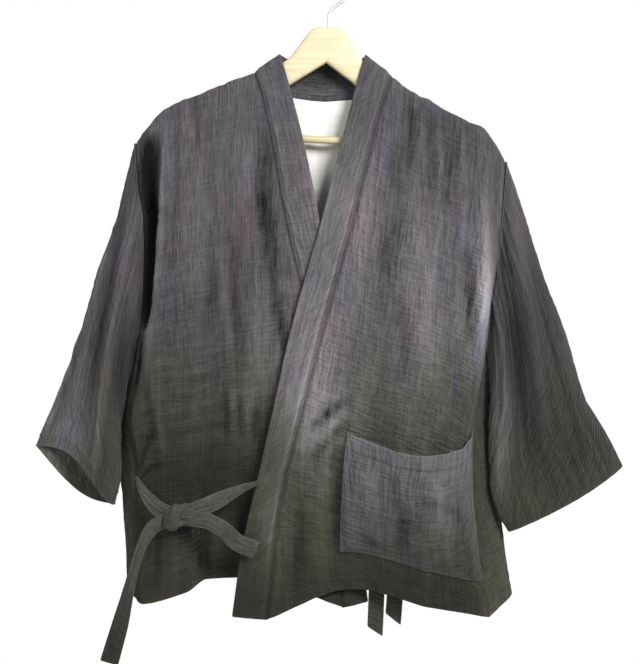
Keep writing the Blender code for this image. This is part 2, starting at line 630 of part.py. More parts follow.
def build_strap(name, steps, knot, count=10):
    """A flat strap that stops at the knot."""
    centre, wide, facing, width = strap_frame(steps, count)
    offsets = (-.5, 0, .5)
    grid = np.stack([centre + wide * (width * o)[:, None] for o in offsets], 1)
    direction = np.repeat(facing[:, None], len(offsets), 1)
    strap = wall(name, grid, direction, STRAP, "tie")
    cut_away(strap, knot)
    return strap


def knot_mesh(name, knot, grown):
    """A rounded lump with the hollows of a flat knot; grown adds to each radius."""
    rings, around = 9, 14
    vertices = [(0.0, 0.0, knot.high + grown)]
    for i in range(1, rings):
        polar = math.pi * i / rings
        for j in range(around):
            turn = 2 * math.pi * j / around
            vertices.append((math.cos(turn) * math.sin(polar) * (knot.long + grown),
                             math.sin(turn) * math.sin(polar) * (knot.deep + grown),
                             math.cos(polar) * (knot.high + grown)))
    vertices.append((0.0, 0.0, -knot.high - grown))
    last = len(vertices) - 1
    faces = [(0, 1 + j, 1 + (j + 1) % around) for j in range(around)]
    for i in range(rings - 2):
        for j in range(around):
            a, b = 1 + i * around + j, 1 + i * around + (j + 1) % around
            faces.append((a, a + around, b + around, b))
    low = 1 + (rings - 2) * around
    faces += [(last, low + (j + 1) % around, low + j) for j in range(around)]
    turned = Matrix.Rotation(knot.lean, 3, "Y")
    centre = Vector((knot.x, knot.y, knot.z))
    placed = [tuple(turned @ Vector(v) + centre) for v in vertices]
    return add_object(name, placed, faces, "tie")


def build_ties():
    """The outer pair tied at the right side, and the inner pair tied inside the left side."""
    pairs = (
        ("outer", OUTER_KNOT, dict(arm_front=OUTER_ARM_FRONT, arm_side=OUTER_ARM_SIDE,
                                   end_down=OUTER_END_DOWN, end_across=OUTER_END_ACROSS)),
        ("inner", INNER_KNOT, dict(arm_front=INNER_ARM_FRONT, arm_side=INNER_ARM_SIDE,
                                   end_band=INNER_END_BAND, end_side=INNER_END_SIDE)),
    )
    for layer, knot, straps in pairs:
        knot_mesh(f"{layer}_knot", knot, 0)
        cutter = knot_mesh(f"{layer}_knot_room", knot, SEAM_GAP + 0.1)
        for part, steps in straps.items():
            build_strap(f"{layer}_tie_{part}", steps, cutter)


# ---------------------------------------------------------------- hanger
def cylinder(name, start, end, radius, finish, sides=20):
    """A capped cylinder between two points in mm."""
    start, end = Vector(start), Vector(end)
    way = (end - start).normalized()
    aside = way.orthogonal().normalized()
    other = way.cross(aside)
    rings = []
    for centre in (start, end):
        for k in range(sides):
            turn = 2 * math.pi * k / sides
            rings.append(centre + aside * (math.cos(turn) * radius)
                         + other * (math.sin(turn) * radius))
    faces = [(k, (k + 1) % sides, sides + (k + 1) % sides, sides + k) for k in range(sides)]
    faces += [tuple(reversed(range(sides))), tuple(range(sides, 2 * sides))]
    obj = add_object(name, [tuple(p) for p in rings], faces, finish)
    obj.data.set_sharp_from_angle(angle=math.radians(40))
    return obj


def build_hanger():
    """Wooden hanger with a trouser bar and a wire hook, tilted a little about the hook's seat."""
    outline = [(s.x, s.top, s.bottom) for s in HANGER]
    whole = [(-x, top, low) for x, top, low in reversed(outline[1:])] + outline
    edge = 2.5
    half = HANGER_THICK / 2
    vertices = []
    for x, top, low in whole:
        vertices += [(x, -half, top - edge), (x, -half + edge, top), (x, half - edge, top),
                     (x, half, top - edge), (x, half, low + edge), (x, half - edge, low),
                     (x, -half + edge, low), (x, -half, low + edge)]
    faces = []
    for k in range(len(whole) - 1):
        for j in range(8):
            a, b = k * 8 + j, k * 8 + (j + 1) % 8
            faces.append((a, b, b + 8, a + 8))
    faces += [tuple(reversed(range(8))), tuple(range(len(vertices) - 8, len(vertices)))]
    body = add_object("hanger_body", vertices, faces, "wood")
    body.data.set_sharp_from_angle(angle=math.radians(30))

    bar = cylinder("hanger_bar", (-BAR_HALF, 0, BAR_HEIGHT), (BAR_HALF, 0, BAR_HEIGHT),
                   BAR_RADIUS, "wood")
    room = BAR_HALF + 1
    socket = cylinder("bar_sockets", (-room, 0, BAR_HEIGHT), (room, 0, BAR_HEIGHT),
                      BAR_RADIUS + SEAM_GAP, "wood")
    hole = cylinder("stem_hole", (0, 0, STEM_FOOT - 1), (0, 0, STEM_TOP),
                    WIRE_RADIUS + SEAM_GAP, "wood")
    cut_away(body, socket)
    cut_away(body, hole)

    centre = WIRE_RADIUS - HOOK_RADIUS
    path = [(0, STEM_FOOT), (0, -86), (0, -72), (0, STEM_TOP - 3)]
    path += [(1.2, STEM_TOP + 0.6)]
    for degrees in range(-45, 206, 10):
        turn = math.radians(degrees)
        path.append((HOOK_RADIUS * math.cos(turn), centre + HOOK_RADIUS * math.sin(turn)))
    curve = bpy.data.curves.new("hanger_hook", "CURVE")
    curve.dimensions = "3D"
    spline = curve.splines.new("POLY")
    spline.points.add(len(path) - 1)
    for point, (x, z) in zip(spline.points, path):
        point.co = (x * MM, 0, z * MM, 1)
    curve.bevel_depth = WIRE_RADIUS * MM
    curve.bevel_resolution = 2
    curve.use_fill_caps = True
    hook = bpy.data.objects.new("hanger_hook", curve)
    curve.materials.append(material("steel"))
    bpy.context.scene.collection.objects.link(hook)

    for piece in (body, bar, socket, hole, hook):
        piece.rotation_euler = (0, HANGER_TILT, 0)


def main():
    for obj in list(bpy.data.objects):
        bpy.data.objects.remove(obj)
    fronts, back = build_body()
    build_lining(back)
    build_pocket(fronts["left"])
    build_ties()
    build_hanger()


main()
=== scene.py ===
"""Short kimono jacket of double gauze on a wooden hanger: its cloth, ties, stitches and wood.

Lengths in the tables are millimetres, and MM turns them into metres. Left and right are the
wearer's.
The front faces -Y and the origin is the seat of the hanger's hook.
"""
import logging
import math
from collections.abc import Sequence
from dataclasses import dataclass, field
from enum import Enum
from typing import NamedTuple

import bmesh
import bpy
import numpy as np
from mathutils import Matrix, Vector


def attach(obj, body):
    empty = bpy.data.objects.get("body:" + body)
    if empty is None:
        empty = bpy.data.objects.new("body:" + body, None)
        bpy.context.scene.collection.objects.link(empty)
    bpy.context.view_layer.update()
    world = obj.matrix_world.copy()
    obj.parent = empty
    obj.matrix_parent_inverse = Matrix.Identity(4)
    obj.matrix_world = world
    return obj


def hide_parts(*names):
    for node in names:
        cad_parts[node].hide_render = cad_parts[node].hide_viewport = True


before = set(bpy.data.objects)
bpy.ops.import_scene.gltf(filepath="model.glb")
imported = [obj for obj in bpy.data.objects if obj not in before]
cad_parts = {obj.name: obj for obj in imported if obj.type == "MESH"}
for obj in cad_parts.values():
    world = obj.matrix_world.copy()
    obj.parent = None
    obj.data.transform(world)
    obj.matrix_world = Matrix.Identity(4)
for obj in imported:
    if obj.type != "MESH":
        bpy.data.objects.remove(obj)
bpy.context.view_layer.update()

LOG = logging.getLogger("jacket")
Array = np.ndarray

MM = 0.001
BODY = "root"

# ---- thicknesses and seams, mm ----
CLOTH = 1.6
LINING = 1.2
BAND = 3.0
STRAP = 2.2
STRAP_WIDTH = 24.0
ROLL = 11.0            # radius at which the cloth turns over the hanger's top edge
HEM = 17.0             # from a hem's edge to its stitches
SEAM_REACH = 3.2       # how far from a seam the cloth starts to turn in
SEAM_DIP = 1.4
FADE = 9.0             # over which folds die away at a seam
MESH_STEP = 2.9        # spacing of the cloth's points

# ---- levels down the cloth, as shares of the way from the shoulder ridge to the hem ----
LEVELS = (0.0, 0.055, 0.29, 0.50, 0.64, 0.75, 0.89, 1.0)
ARMPIT = 0.50
SIDE_DROPS = (0.0, 0.07, 0.215, 0.42, 0.60, 0.71, 0.86, 1.0)
ROLL_ROWS = (0, .0003, .0008, .0015, .0025, .0038, .0052, .0072, .0095, .0122, .0155)
NECK = (0.36, 0.64)    # where the neckline starts and ends across the back


class Side(Enum):
    """The wearer's side that a piece is on; the value points along +X or -X."""

    RIGHT = -1
    LEFT = 1


class Ridge(NamedTuple):
    """A point of the shoulder ridge."""

    x: float
    z: float


class Line(NamedTuple):
    """A line of cloth from the shoulder to the hem, with its places at each of the levels."""

    across: float
    hem: float
    x: tuple[float, ...]
    y: tuple[float, ...]


class Edge(NamedTuple):
    """A point of the neckband's free edge, and how far down or across its seam lies."""

    place: float
    x: float
    y: float
    z: float


class Ring(NamedTuple):
    """A ring of sleeve: its outer fold (top), the fold below the arm (under) and its fullness."""

    along: float
    top_x: float
    top_z: float
    under_x: float
    under_z: float
    under_y: float
    front: float
    back: float
    crest: float
    lift: float
    dip: float


class Corner(NamedTuple):
    """A corner of the pocket as places across and down the left front."""

    across: float
    down: float


class Step(NamedTuple):
    """A point of a tie's middle, its twist in degrees and its width as a share of the full one."""

    x: float
    y: float
    z: float
    twist: float
    width: float


class Station(NamedTuple):
    """Half-span, top and bottom of the hanger."""

    x: float
    top: float
    bottom: float


class Crease(NamedTuple):
    """A soft ridge (height above 0) or trough along a path of x, z points."""

    width: float
    height: float
    path: tuple[tuple[float, float], ...]


class Crinkle(NamedTuple):
    """A field of small crinkles: their spacing across and down the cloth, height and seed."""

    across: float
    down: float
    height: float
    seed: int


class Patch(NamedTuple):
    """A soft-edged oval of the cloth, by its middle and half-sizes in x and z."""

    x: float
    z: float
    wide: float
    high: float


class Valley(NamedTuple):
    """A long fold that sinks beside an armhole: its distance from the seam, half-width, depth."""

    away: float
    reach: float
    deep: float


class Tone(NamedTuple):
    """A soft oval where the colour is lighter (amount above 0) or darker, by middle and half-sizes;
    some are the dye's own, many are painted light and painted shade.
    """

    x: float
    z: float
    wide: float
    high: float
    amount: float


RIDGE_RIGHT = (Ridge(-273, -239), Ridge(-254, -217), Ridge(-232, -192), Ridge(-176, -168),
               Ridge(-127, -149), Ridge(-106, -140))
RIDGE_LEFT = (Ridge(85, -146), Ridge(103, -161), Ridge(150, -187), Ridge(192, -209),
              Ridge(210, -217), Ridge(227, -237), Ridge(244, -265))
SIDE_RIGHT = Line(0, -866, x=(-273, -270, -262, -264, -275, -270, -271, -267),
                  y=(-8, -10, -18, -17, -18, -23, -27, -34))
SIDE_LEFT = Line(0, -887, x=(244, 241, 231, 213, 196, 194, 202, 213),
                 y=(-8, -10, -21, -25, -32, -38, -46, -52))
FRONT_RIGHT = (
    Line(.12, -871, x=(-231, -232, -235, -250, -270, -262, -259, -255),
         y=(-11, -14, -30, -38, -34, -30, -38, -46)),
    Line(.40, -855, x=(-176, -175, -176, -182, -188, -194, -194, -196),
         y=(-11, -13, -32, -40, -42, -44, -46, -46)),
    Line(.50, -842, x=(-158, -156, -154, -156, -160, -167, -171, -171),
         y=(-11, -13, -31, -38, -38, -33, -27, -25)),
    Line(.70, -841, x=(-127, -122, -107, -91, -86, -92, -101, -109),
         y=(-11, -13, -28, -33, -33, -28, -22, -20)),
    Line(1, -882, x=(-106, -94, -61, -25, -8, 1, 9, 16),
         y=(-11, -13, -24, -30, -30, -27, -22, -20)),
)
FRONT_LEFT = (
    Line(.12, -884, x=(208, 211, 204, 199, 184, 184, 191, 201),
         y=(-11, -14, -34, -44, -46, -46, -52, -58)),
    Line(.40, -874, x=(151, 152, 148, 142, 135, 131, 130, 133),
         y=(-11, -14, -36, -46, -49, -50, -52, -52)),
    Line(.70, -854, x=(103, 97, 72, 52, 36, 28, 26, 28),
         y=(-11, -14, -34, -44, -45, -44, -36, -30)),
    Line(1, -886, x=(85, 72, 27, -15, -41, -61, -77, -86),
         y=(-11, -14, -30, -42, -48, -52, -62, -66)),
)
BACK_HALF = 9          # y of an armhole's back half, until it closes to meet the armpit
BACK = (
    Line(.05, -859, x=(-254, -253, -250, -280, -298, -294, -288, -284),
         y=(11, 12, 14, 10, 8, 4, -3, -8)),
    Line(.20, -851, x=(-178, -178, -182, -190, -201, -213, -222, -228),
         y=(11, 14, 22, 28, 30, 32, 34, 34)),
    Line(.36, -843, x=(-106, -106, -105, -104, -104, -104, -104, -104),
         y=(11, 15, 24.8, 30.1, 32.9, 35.7, 37.8, 37.8)),
    Line(.37, -843, x=(-103, -103, -102, -101, -101, -101, -101, -101),
         y=(8.5, 15.5, 24.9, 30.2, 33, 35.8, 38, 38)),
    Line(.38, -843, x=(-98, -98, -97, -96, -96, -96, -96, -96),
         y=(11.5, 16, 25.1, 30.3, 33.1, 36, 38.1, 38.1)),
    Line(.42, -842, x=(-66, -66, -67, -67, -67, -67, -67, -67),
         y=(17, 19, 26, 31, 34, 37, 39, 39)),
    Line(.50, -842, x=(-8, -8, -8, -8, -8, -8, -8, -8),
         y=(22, 22, 27, 31, 34, 37, 39, 39)),
    Line(.58, -843, x=(48, 50, 52, 52, 52, 52, 52, 52),
         y=(17, 19, 26, 31, 34, 37, 39, 39)),
    Line(.62, -845, x=(78, 79, 80, 81, 83, 85, 88, 90),
         y=(11.5, 16, 25, 30.2, 33, 35.9, 38, 38)),
    Line(.63, -845, x=(82, 83, 84, 86, 88, 90, 93, 96),
         y=(8.5, 15.5, 24.8, 30, 32.8, 35.7, 37.8, 37.8)),
    Line(.64, -846, x=(85, 86, 87, 89, 91, 94, 97, 100),
         y=(11, 15, 24.6, 29.9, 32.6, 35.5, 37.6, 37.6)),
    Line(.80, -855, x=(154, 156, 155, 156, 165, 174, 185, 191),
         y=(11, 14, 22, 28, 30, 32, 34, 34)),
    Line(.95, -864, x=(227, 226, 221, 221, 226, 230, 240, 250),
         y=(11, 12, 14, 6, -1, -6, -10, -12)),
)
NECKLINE = {.37: -143, .38: -148.5, .42: -160, .50: -166, .58: -162, .62: -153.5, .63: -149}
BAND_RIGHT = (
    Edge(0, -72, -1, -115.5), Edge(.005, -71.5, -5, -117), Edge(.0155, -70, -9.2, -123),
    Edge(.04, -58.5, -11.5, -163.6), Edge(.124, -43, -15, -224), Edge(.29, -17.5, -25, -350),
    Edge(.50, 4, -30, -511), Edge(.62, 19, -29, -610), Edge(.75, 28.5, -26, -706),
    Edge(.87, 39, -18, -797), Edge(1, 50, -8, -877),
)
BAND_BACK = (
    Edge(.37, -68, 5, -116.5), Edge(.38, -64, 9.6, -118), Edge(.42, -45, 13, -120.5),
    Edge(.50, -8, 17, -121.6), Edge(.58, 26, 13, -120.5), Edge(.62, 44.5, 9.6, -119),
    Edge(.63, 47, 5, -117.5),
)
BAND_LEFT = (
    Edge(0, 48.2, -1, -116.5), Edge(.005, 48, -5, -118), Edge(.0155, 46.5, -9.2, -124),
    Edge(.04, 34.6, -12.5, -166.6), Edge(.131, 16.4, -17, -237), Edge(.29, -14, -31, -357),
    Edge(.50, -57, -42, -513.5), Edge(.62, -77.5, -48, -608), Edge(.745, -97.5, -52, -697),
    Edge(.877, -118.5, -62, -791), Edge(1, -131.5, -66, -882),
)
SLEEVE_RIGHT = (
    Ring(.20, -299, -340, -284, -582, -13, -28, 14, .72, 0, 0),
    Ring(.40, -326, -427, -291, -621, -10, -34, 18, .74, 4, 2),
    Ring(.60, -353, -508, -294, -659, -7, -38, 20, .78, 8, 6),
    Ring(.80, -382, -588, -294, -697, -5, -40, 20, .82, 15, 12),
    Ring(1.0, -413, -662, -302, -743, -4, -38, 18, .84, 26, 24),
)
SLEEVE_LEFT = (
    Ring(.20, 270, -342, 219, -577, -29, -40, 12, .45, 0, 0),
    Ring(.40, 295, -423, 218, -626, -31, -46, 14, .42, 0, 0),
    Ring(.60, 322, -500, 217, -667, -32, -48, 14, .40, 0, 0),
    Ring(.80, 353, -590, 219, -716, -32, -46, 14, .38, 0, 0),
    Ring(.92, 382, -640, 228, -748, -32, -42, 12, .36, -2, 0),
    Ring(1.0, 407, -688, 243, -776, -31, -38, 10, .36, -4, -6),
)
POCKET = dict(top_side=Corner(.06, .645), top_band=Corner(.73, .690),
              low_side=Corner(.05, .932), low_band=Corner(.74, .926))
POCKET_SAG = 0.036
POCKET_STANDS = 11.0
POCKET_HEM = 21.0

OUTER_ARM_FRONT = (Step(-97, -62, -704, 0, .12), Step(-112, -64, -709, 0, .30),
                   Step(-135, -68, -719, 5, .62), Step(-160, -72, -731, 0, .85),
                   Step(-188, -74, -742, 0, .80))
OUTER_ARM_SIDE = (Step(-266, -42, -700, 0, .12), Step(-258, -50, -712, 0, .34),
                  Step(-245, -60, -727, 5, .64), Step(-232, -68, -738, 0, .78),
                  Step(-216, -72, -745, 0, .80))
OUTER_END_DOWN = (Step(-216, -74, -751, 0, .70), Step(-235, -77, -760, 14, .74),
                  Step(-250, -76, -782, 40, .66), Step(-262, -72, -816, 48, .60),
                  Step(-272, -68, -852, 34, .66), Step(-283, -66, -895, 12, .84),
                  Step(-297, -66, -944, 0, .95))
OUTER_END_ACROSS = (Step(-194, -74, -750, 0, .70), Step(-167, -80, -752, -10, .85),
                    Step(-144, -83, -763, -8, .85), Step(-124, -82, -781, 0, .88),
                    Step(-101, -78, -791, 0, .90))
INNER_ARM_FRONT = (Step(31.5, -25, -703, 0, .35), Step(42, -18, -707, 0, .60),
                   Step(55, -13, -716, 0, .80), Step(74, -9, -724, 0, .70))
INNER_ARM_SIDE = (Step(186, -26, -700, 0, .35), Step(165, -19, -704, 0, .60),
                  Step(128, -12, -713, 0, .80), Step(92, -9, -724, 0, .70))
INNER_END_BAND = (Step(80, -14, -734, 0, .60), Step(74, -15, -752, 0, .75),
                  Step(68, -13, -790, 0, .85), Step(64, -10, -850, 6, .85),
                  Step(61, -8, -925, 10, .85))
INNER_END_SIDE = (Step(86, -6, -734, 0, .60), Step(90, -5, -752, 0, .75),
                  Step(92, -6, -790, 0, .85), Step(90, -8, -850, -6, .85),
                  Step(86, -8, -908, -10, .85))

HANGER_TILT = math.radians(3.0)
HANGER_THICK = 14.0
HANGER = (Station(0, -77, -126), Station(16, -77.5, -137), Station(26, -85, -144),
          Station(33, -95, -148.5), Station(42, -109, -155), Station(53, -123, -162),
          Station(70, -135, -170), Station(93, -146, -181), Station(111, -159, -190),
          Station(157, -183, -216), Station(185, -196, -238), Station(202, -204, -246),
          Station(214, -209, -247), Station(219, -216, -240))

# ---- the folds in the cloth, each placed one by one ----
SUNK = 12.0             # how far the right armhole's front half lies behind the front's side
FOLDS_FRONT_RIGHT = (
    Crease(14, -18.0, ((-254, -228), (-255, -300), (-257, -388), (-262, -470), (-267, -500))),
    Crease(8, -9.0, ((-267, -505), (-272, -550), (-280, -590))),
    Crease(6, 5.0, ((-231, -205), (-234, -300), (-237, -388), (-247, -490), (-262, -600))),
    Crease(12, -3.4, ((-92, -215), (-94, -309), (-86, -377), (-75, -445))),
    Crease(8, -2.6, ((-135, -360), (-134, -445), (-127, -516), (-128, -575))),
    Crease(6, -1.9, ((-162, -400), (-162, -508))),
    Crease(9, 2.0, ((-150, -380), (-147, -459), (-141, -535))),
    Crease(7, -2.4, ((-81, -410), (-71, -493), (-64, -530))),
    Crease(10, 2.0, ((-105, -445), (-101, -554), (-111, -629))),
    Crease(6, 1.9, ((-250, -546), (-236, -620), (-229, -673), (-225, -726))),
    Crease(6, -2.0, ((-257, -550), (-246, -622), (-238, -677))),
    Crease(5, -2.4, ((-146, -580), (-143, -664))),
    Crease(5, 2.2, ((-135, -576), (-134, -660))),
    Crease(4.5, -2.6, ((-126, -585), (-124, -655))),
    Crease(6, 1.8, ((-116, -560), (-113, -640))),
    Crease(5, -2.2, ((-104, -600), (-105, -655))),
    Crease(5, -2.8, ((-264, -706), (-247, -690), (-224, -680))),
    Crease(5, 2.3, ((-263, -703), (-250, -674), (-231, -645))),
    Crease(5, -2.5, ((-264, -700), (-256, -670), (-244, -634))),
    Crease(6, -2.2, ((-263, -716), (-244, -733), (-224, -762))),
    Crease(6, 1.8, ((-264, -724), (-250, -752), (-240, -790))),
    Crease(10, -2.4, ((-179, -690), (-177, -759), (-181, -846))),
    Crease(15, 2.0, ((-192, -245), (-190, -350), (-195, -459))),
    Crease(13, 1.6, ((-122, -225), (-124, -330))),
    Crease(5, -1.6, ((-247, -330), (-236, -338), (-222, -340))),
    Crease(5, -1.4, ((-248, -346), (-236, -352), (-224, -352))),
    Crease(6, 1.3, ((-212, -760), (-214, -800), (-210, -846))),
    Crease(7, -1.5, ((-232, -770), (-236, -815), (-238, -850))),
)
FOLDS_FRONT_LEFT = (
    Crease(8, 3.5, ((208, -300), (212, -400), (207, -500))),
    Crease(6, -2.0, ((108, -178), (110, -217), (106, -300))),
    Crease(7, -2.0, ((138, -194), (140, -243), (136, -320))),
    Crease(6, 1.6, ((122, -186), (123, -262))),
    Crease(6, -1.7, ((157, -205), (160, -268), (156, -345))),
    Crease(5, 1.5, ((148, -204), (149, -290))),
    Crease(5, -1.5, ((172, -214), (174, -300))),
    Crease(5, 1.5, ((181, -220), (183, -310))),
    Crease(8, -3.0, ((186, -380), (189, -459), (187, -525))),
    Crease(9, 2.6, ((203, -323), (205, -418), (204, -500))),
    Crease(7, -2.4, ((23, -592), (-2, -612), (-30, -633))),
    Crease(7, 2.0, ((23, -608), (1, -628), (-26, -654))),
    Crease(7, -1.8, ((20, -622), (-2, -650), (-30, -680))),
    Crease(14, -4.0, ((16, -650), (9, -731), (13, -820))),
    Crease(14, -1.9, ((87, -235), (77, -364), (66, -500))),
    Crease(14, 1.8, ((46, -290), (28, -432), (17, -568))),
    Crease(17, 2.0, ((128, -323), (129, -459), (126, -595))),
    Crease(9, -1.7, ((96, -450), (98, -575))),
    Crease(12, 2.4, ((-9, -690), (-13, -786), (-18, -867))),
    Crease(9, -2.2, ((-43, -731), (-45, -813), (-48, -874))),
    Crease(7, -1.6, ((58, -838), (54, -872))),
    Crease(8, 1.6, ((120, -846), (122, -884))),
    Crease(7, -1.6, ((165, -846), (168, -884))),
)
FOLDS_SLEEVE_RIGHT = (
    Crease(13, 2.4, ((-303, -279), (-322, -376), (-347, -486), (-372, -600))),
    Crease(9, -2.4, ((-289, -300), (-305, -431), (-325, -555), (-344, -652))),
    Crease(8, -1.9, ((-319, -362), (-341, -458), (-366, -555), (-378, -610))),
    Crease(8, 1.9, ((-280, -272), (-286, -403), (-300, -541), (-314, -652))),
    Crease(5, 2.0, ((-264, -248), (-257, -262), (-250, -284))),
    Crease(4, -2.2, ((-268, -252), (-260, -276), (-254, -302))),
    Crease(5, -1.8, ((-249, -240), (-246, -265), (-247, -295))),
    Crease(9, 1.5, ((-266, -330), (-268, -458), (-278, -596))),
    Crease(8, -1.8, ((-361, -585), (-366, -638), (-374, -672))),
    Crease(8, 1.8, ((-330, -590), (-336, -652), (-338, -700))),
    Crease(7, -1.8, ((-312, -640), (-316, -690), (-316, -730))),
)
FOLDS_SLEEVE_LEFT = (
    Crease(6, -3.6, ((236, -262), (224, -300), (222, -350))),
    Crease(8, 3.2, ((229, -290), (230, -391), (232, -527))),
    Crease(8, -3.8, ((243, -275), (244, -364), (250, -459), (262, -582), (277, -690))),
    Crease(10, 2.8, ((256, -316), (272, -459), (294, -595), (311, -690))),
    Crease(7, -2.4, ((277, -377), (306, -500), (336, -622), (357, -697))),
    Crease(6, -2.4, ((260, -459), (277, -595), (294, -704))),
    Crease(6, -2.4, ((234, -590), (245, -677), (256, -752))),
    Crease(10, 2.0, ((295, -405), (328, -527), (362, -650))),
    Crease(6, 1.8, ((268, -500), (281, -609), (299, -701))),
    Crease(6, 1.8, ((246, -541), (254, -636), (266, -731))),
    Crease(5, -2.0, ((322, -560), (338, -620), (350, -665))),
    Crease(5, 1.6, ((226, -600), (232, -680), (242, -740))),
)
FOLDS_SLEEVE_RIGHT_BACK = (
    Crease(10, 2.6, ((-290, -290), (-310, -420), (-336, -560), (-356, -660))),
    Crease(8, -2.6, ((-277, -300), (-292, -430), (-314, -590), (-326, -690))),
    Crease(7, -2.0, ((-306, -350), (-332, -470), (-362, -600))),
    Crease(9, 1.9, ((-284, -440), (-296, -580), (-306, -690))),
    Crease(6, 1.8, ((-330, -430), (-360, -540), (-384, -640))),
)
FOLDS_SLEEVE_LEFT_BACK = (
    Crease(9, -3.0, ((246, -290), (256, -390), (270, -500), (290, -640))),
    Crease(10, 2.6, ((232, -310), (238, -430), (252, -570), (268, -700))),
    Crease(7, -2.2, ((226, -380), (228, -500), (240, -640))),
    Crease(8, 2.0, ((270, -370), (298, -490), (328, -620), (346, -690))),
    Crease(6, -1.8, ((286, -380), (320, -500), (356, -630))),
)
FOLDS_BACK = (
    Crease(15, 3.2, ((-196, -230), (-204, -380), (-214, -560), (-226, -780))),
    Crease(11, -3.0, ((-172, -260), (-178, -420), (-186, -600), (-192, -800))),
    Crease(18, 3.0, ((-128, -240), (-130, -420), (-136, -640), (-140, -810))),
    Crease(13, -2.6, ((-86, -300), (-88, -480), (-92, -700))),
    Crease(20, 2.2, ((-34, -260), (-38, -460), (-36, -720))),
    Crease(12, -2.4, ((14, -320), (16, -520), (14, -790))),
    Crease(16, 2.8, ((62, -250), (68, -420), (76, -620), (80, -800))),
    Crease(11, -3.0, ((112, -260), (120, -400), (134, -600), (142, -790))),
    Crease(15, 3.2, ((158, -250), (166, -420), (182, -600), (196, -800))),
    Crease(7, -2.2, ((-238, -420), (-214, -470), (-180, -500))),
    Crease(7, -2.2, ((196, -400), (174, -450), (146, -480))),
    Crease(8, 1.8, ((-238, -300), (-236, -380))),
    Crease(8, 1.8, ((206, -290), (200, -370))),
)
FOLDS_POCKET = (
    Crease(12, -2.6, ((73, -690), (94, -759), (88, -813))),
    Crease(9, 1.9, ((46, -670), (50, -731), (42, -793))),
    Crease(11, 1.9, ((134, -690), (148, -759), (156, -820))),
    Crease(8, -1.8, ((107, -731), (148, -739), (183, -759))),
    Crease(6, -1.8, ((32, -772), (59, -793), (94, -813))),
)

VALLEYS = {Side.RIGHT: (Valley(9, 9, 6.0),), Side.LEFT: (Valley(9, 6, 6.0), Valley(34, 9, 5.0))}
RIGHT_CROSSWISE = (Patch(-200, -600, 70, 150), Patch(-190, -800, 80, 70), Patch(-230, -420, 30, 60))
LEFT_CROSSWISE = (Patch(0, -780, 60, 110), Patch(60, -850, 120, 40), Patch(10, -620, 40, 50))
BACK_CROSSWISE = (Patch(-60, -700, 120, 120), Patch(120, -560, 90, 90))
FOLDS_LINING = (
    Crease(9, 1.3, ((-80, -190), (-20, -196), (60, -190))),
    Crease(8, -1.2, ((-70, -225), (0, -232), (60, -222))),
    Crease(10, 1.2, ((-60, -270), (-10, -276), (50, -268))),
    Crease(8, -1.0, ((-50, -310), (0, -318), (40, -312))),
)

# ---- crinkles and tones of the cloth ----
WARP = (Crinkle(6.5, 60, 0.8, 11), Crinkle(12, 130, 1.3, 12), Crinkle(26, 230, 1.8, 13))
WEFT = (Crinkle(45, 6.5, 0.75, 21), Crinkle(90, 12, 1.1, 22))
FULLNESS = 1.6
# Lighter and darker areas laid in the cloth's colour. Some are the dye's own; many are painted light
# and painted shade on the folds: a pool of painted light down the middle, painted highlights on the
# left front's side edge, painted shade beside the right armhole and inside the back of the neckband,
# and darker along the bottom. They stay as they are under any light.
DYE_AND_PAINTED_LIGHT = (Tone(-20, -605, 50, 110, 1.50), Tone(125, -470, 110, 120, 0.45),
       Tone(14, -330, 60, 90, 0.50), Tone(203, -475, 20, 75, 1.2),
       Tone(-170, -700, 150, 75, -0.58), Tone(60, -880, 280, 80, -0.62),
       Tone(-180, -850, 110, 60, -0.25), Tone(150, -690, 70, 60, 0.30),
       Tone(150, -212, 90, 40, -0.28), Tone(-90, -480, 40, 110, 0.30),
       Tone(-84, -740, 25, 80, 0.75), Tone(-8, -128, 52, 24, -0.75),
       Tone(200, -720, 9, 60, 0.5), Tone(212, -850, 9, 50, 0.6),
       Tone(-30, -480, 34, 90, 0.30), Tone(-263, -535, 12, 50, -0.62),
       Tone(196, -600, 7, 70, -0.3))
# Painted shade on the back's sides, where they lie in the dark gaps between the body and the
# sleeves.
BACK_PAINTED_SHADE = (Tone(218, -600, 22, 100, -0.68), Tone(-288, -590, 20, 110, -0.68),
            Tone(214, -730, 16, 60, -0.35))
# Painted shade on the low end of the hanging tie, and a little painted light by the outer knot.
TIE_PAINTED_LIGHT_AND_SHADE = (Tone(-285, -925, 60, 90, -0.45), Tone(-190, -735, 60, 25, 0.10))
# On the sleeves: painted shade over much of the left sleeve, in the valley beside its armhole and
# under the right arm; a painted highlight on the lit strip of the left sleeve's under fold; painted
# light on the right sleeve's lower part.
SLEEVE_DYE_AND_PAINTED_LIGHT = (Tone(290, -470, 60, 190, -0.48), Tone(350, -650, 90, 90, -0.35),
              Tone(230, -640, 13, 90, 1.1), Tone(252, -520, 20, 90, -0.45),
              Tone(-330, -480, 60, 170, 0.25), Tone(-365, -630, 60, 85, 1.0),
              Tone(-284, -575, 17, 100, -0.80))


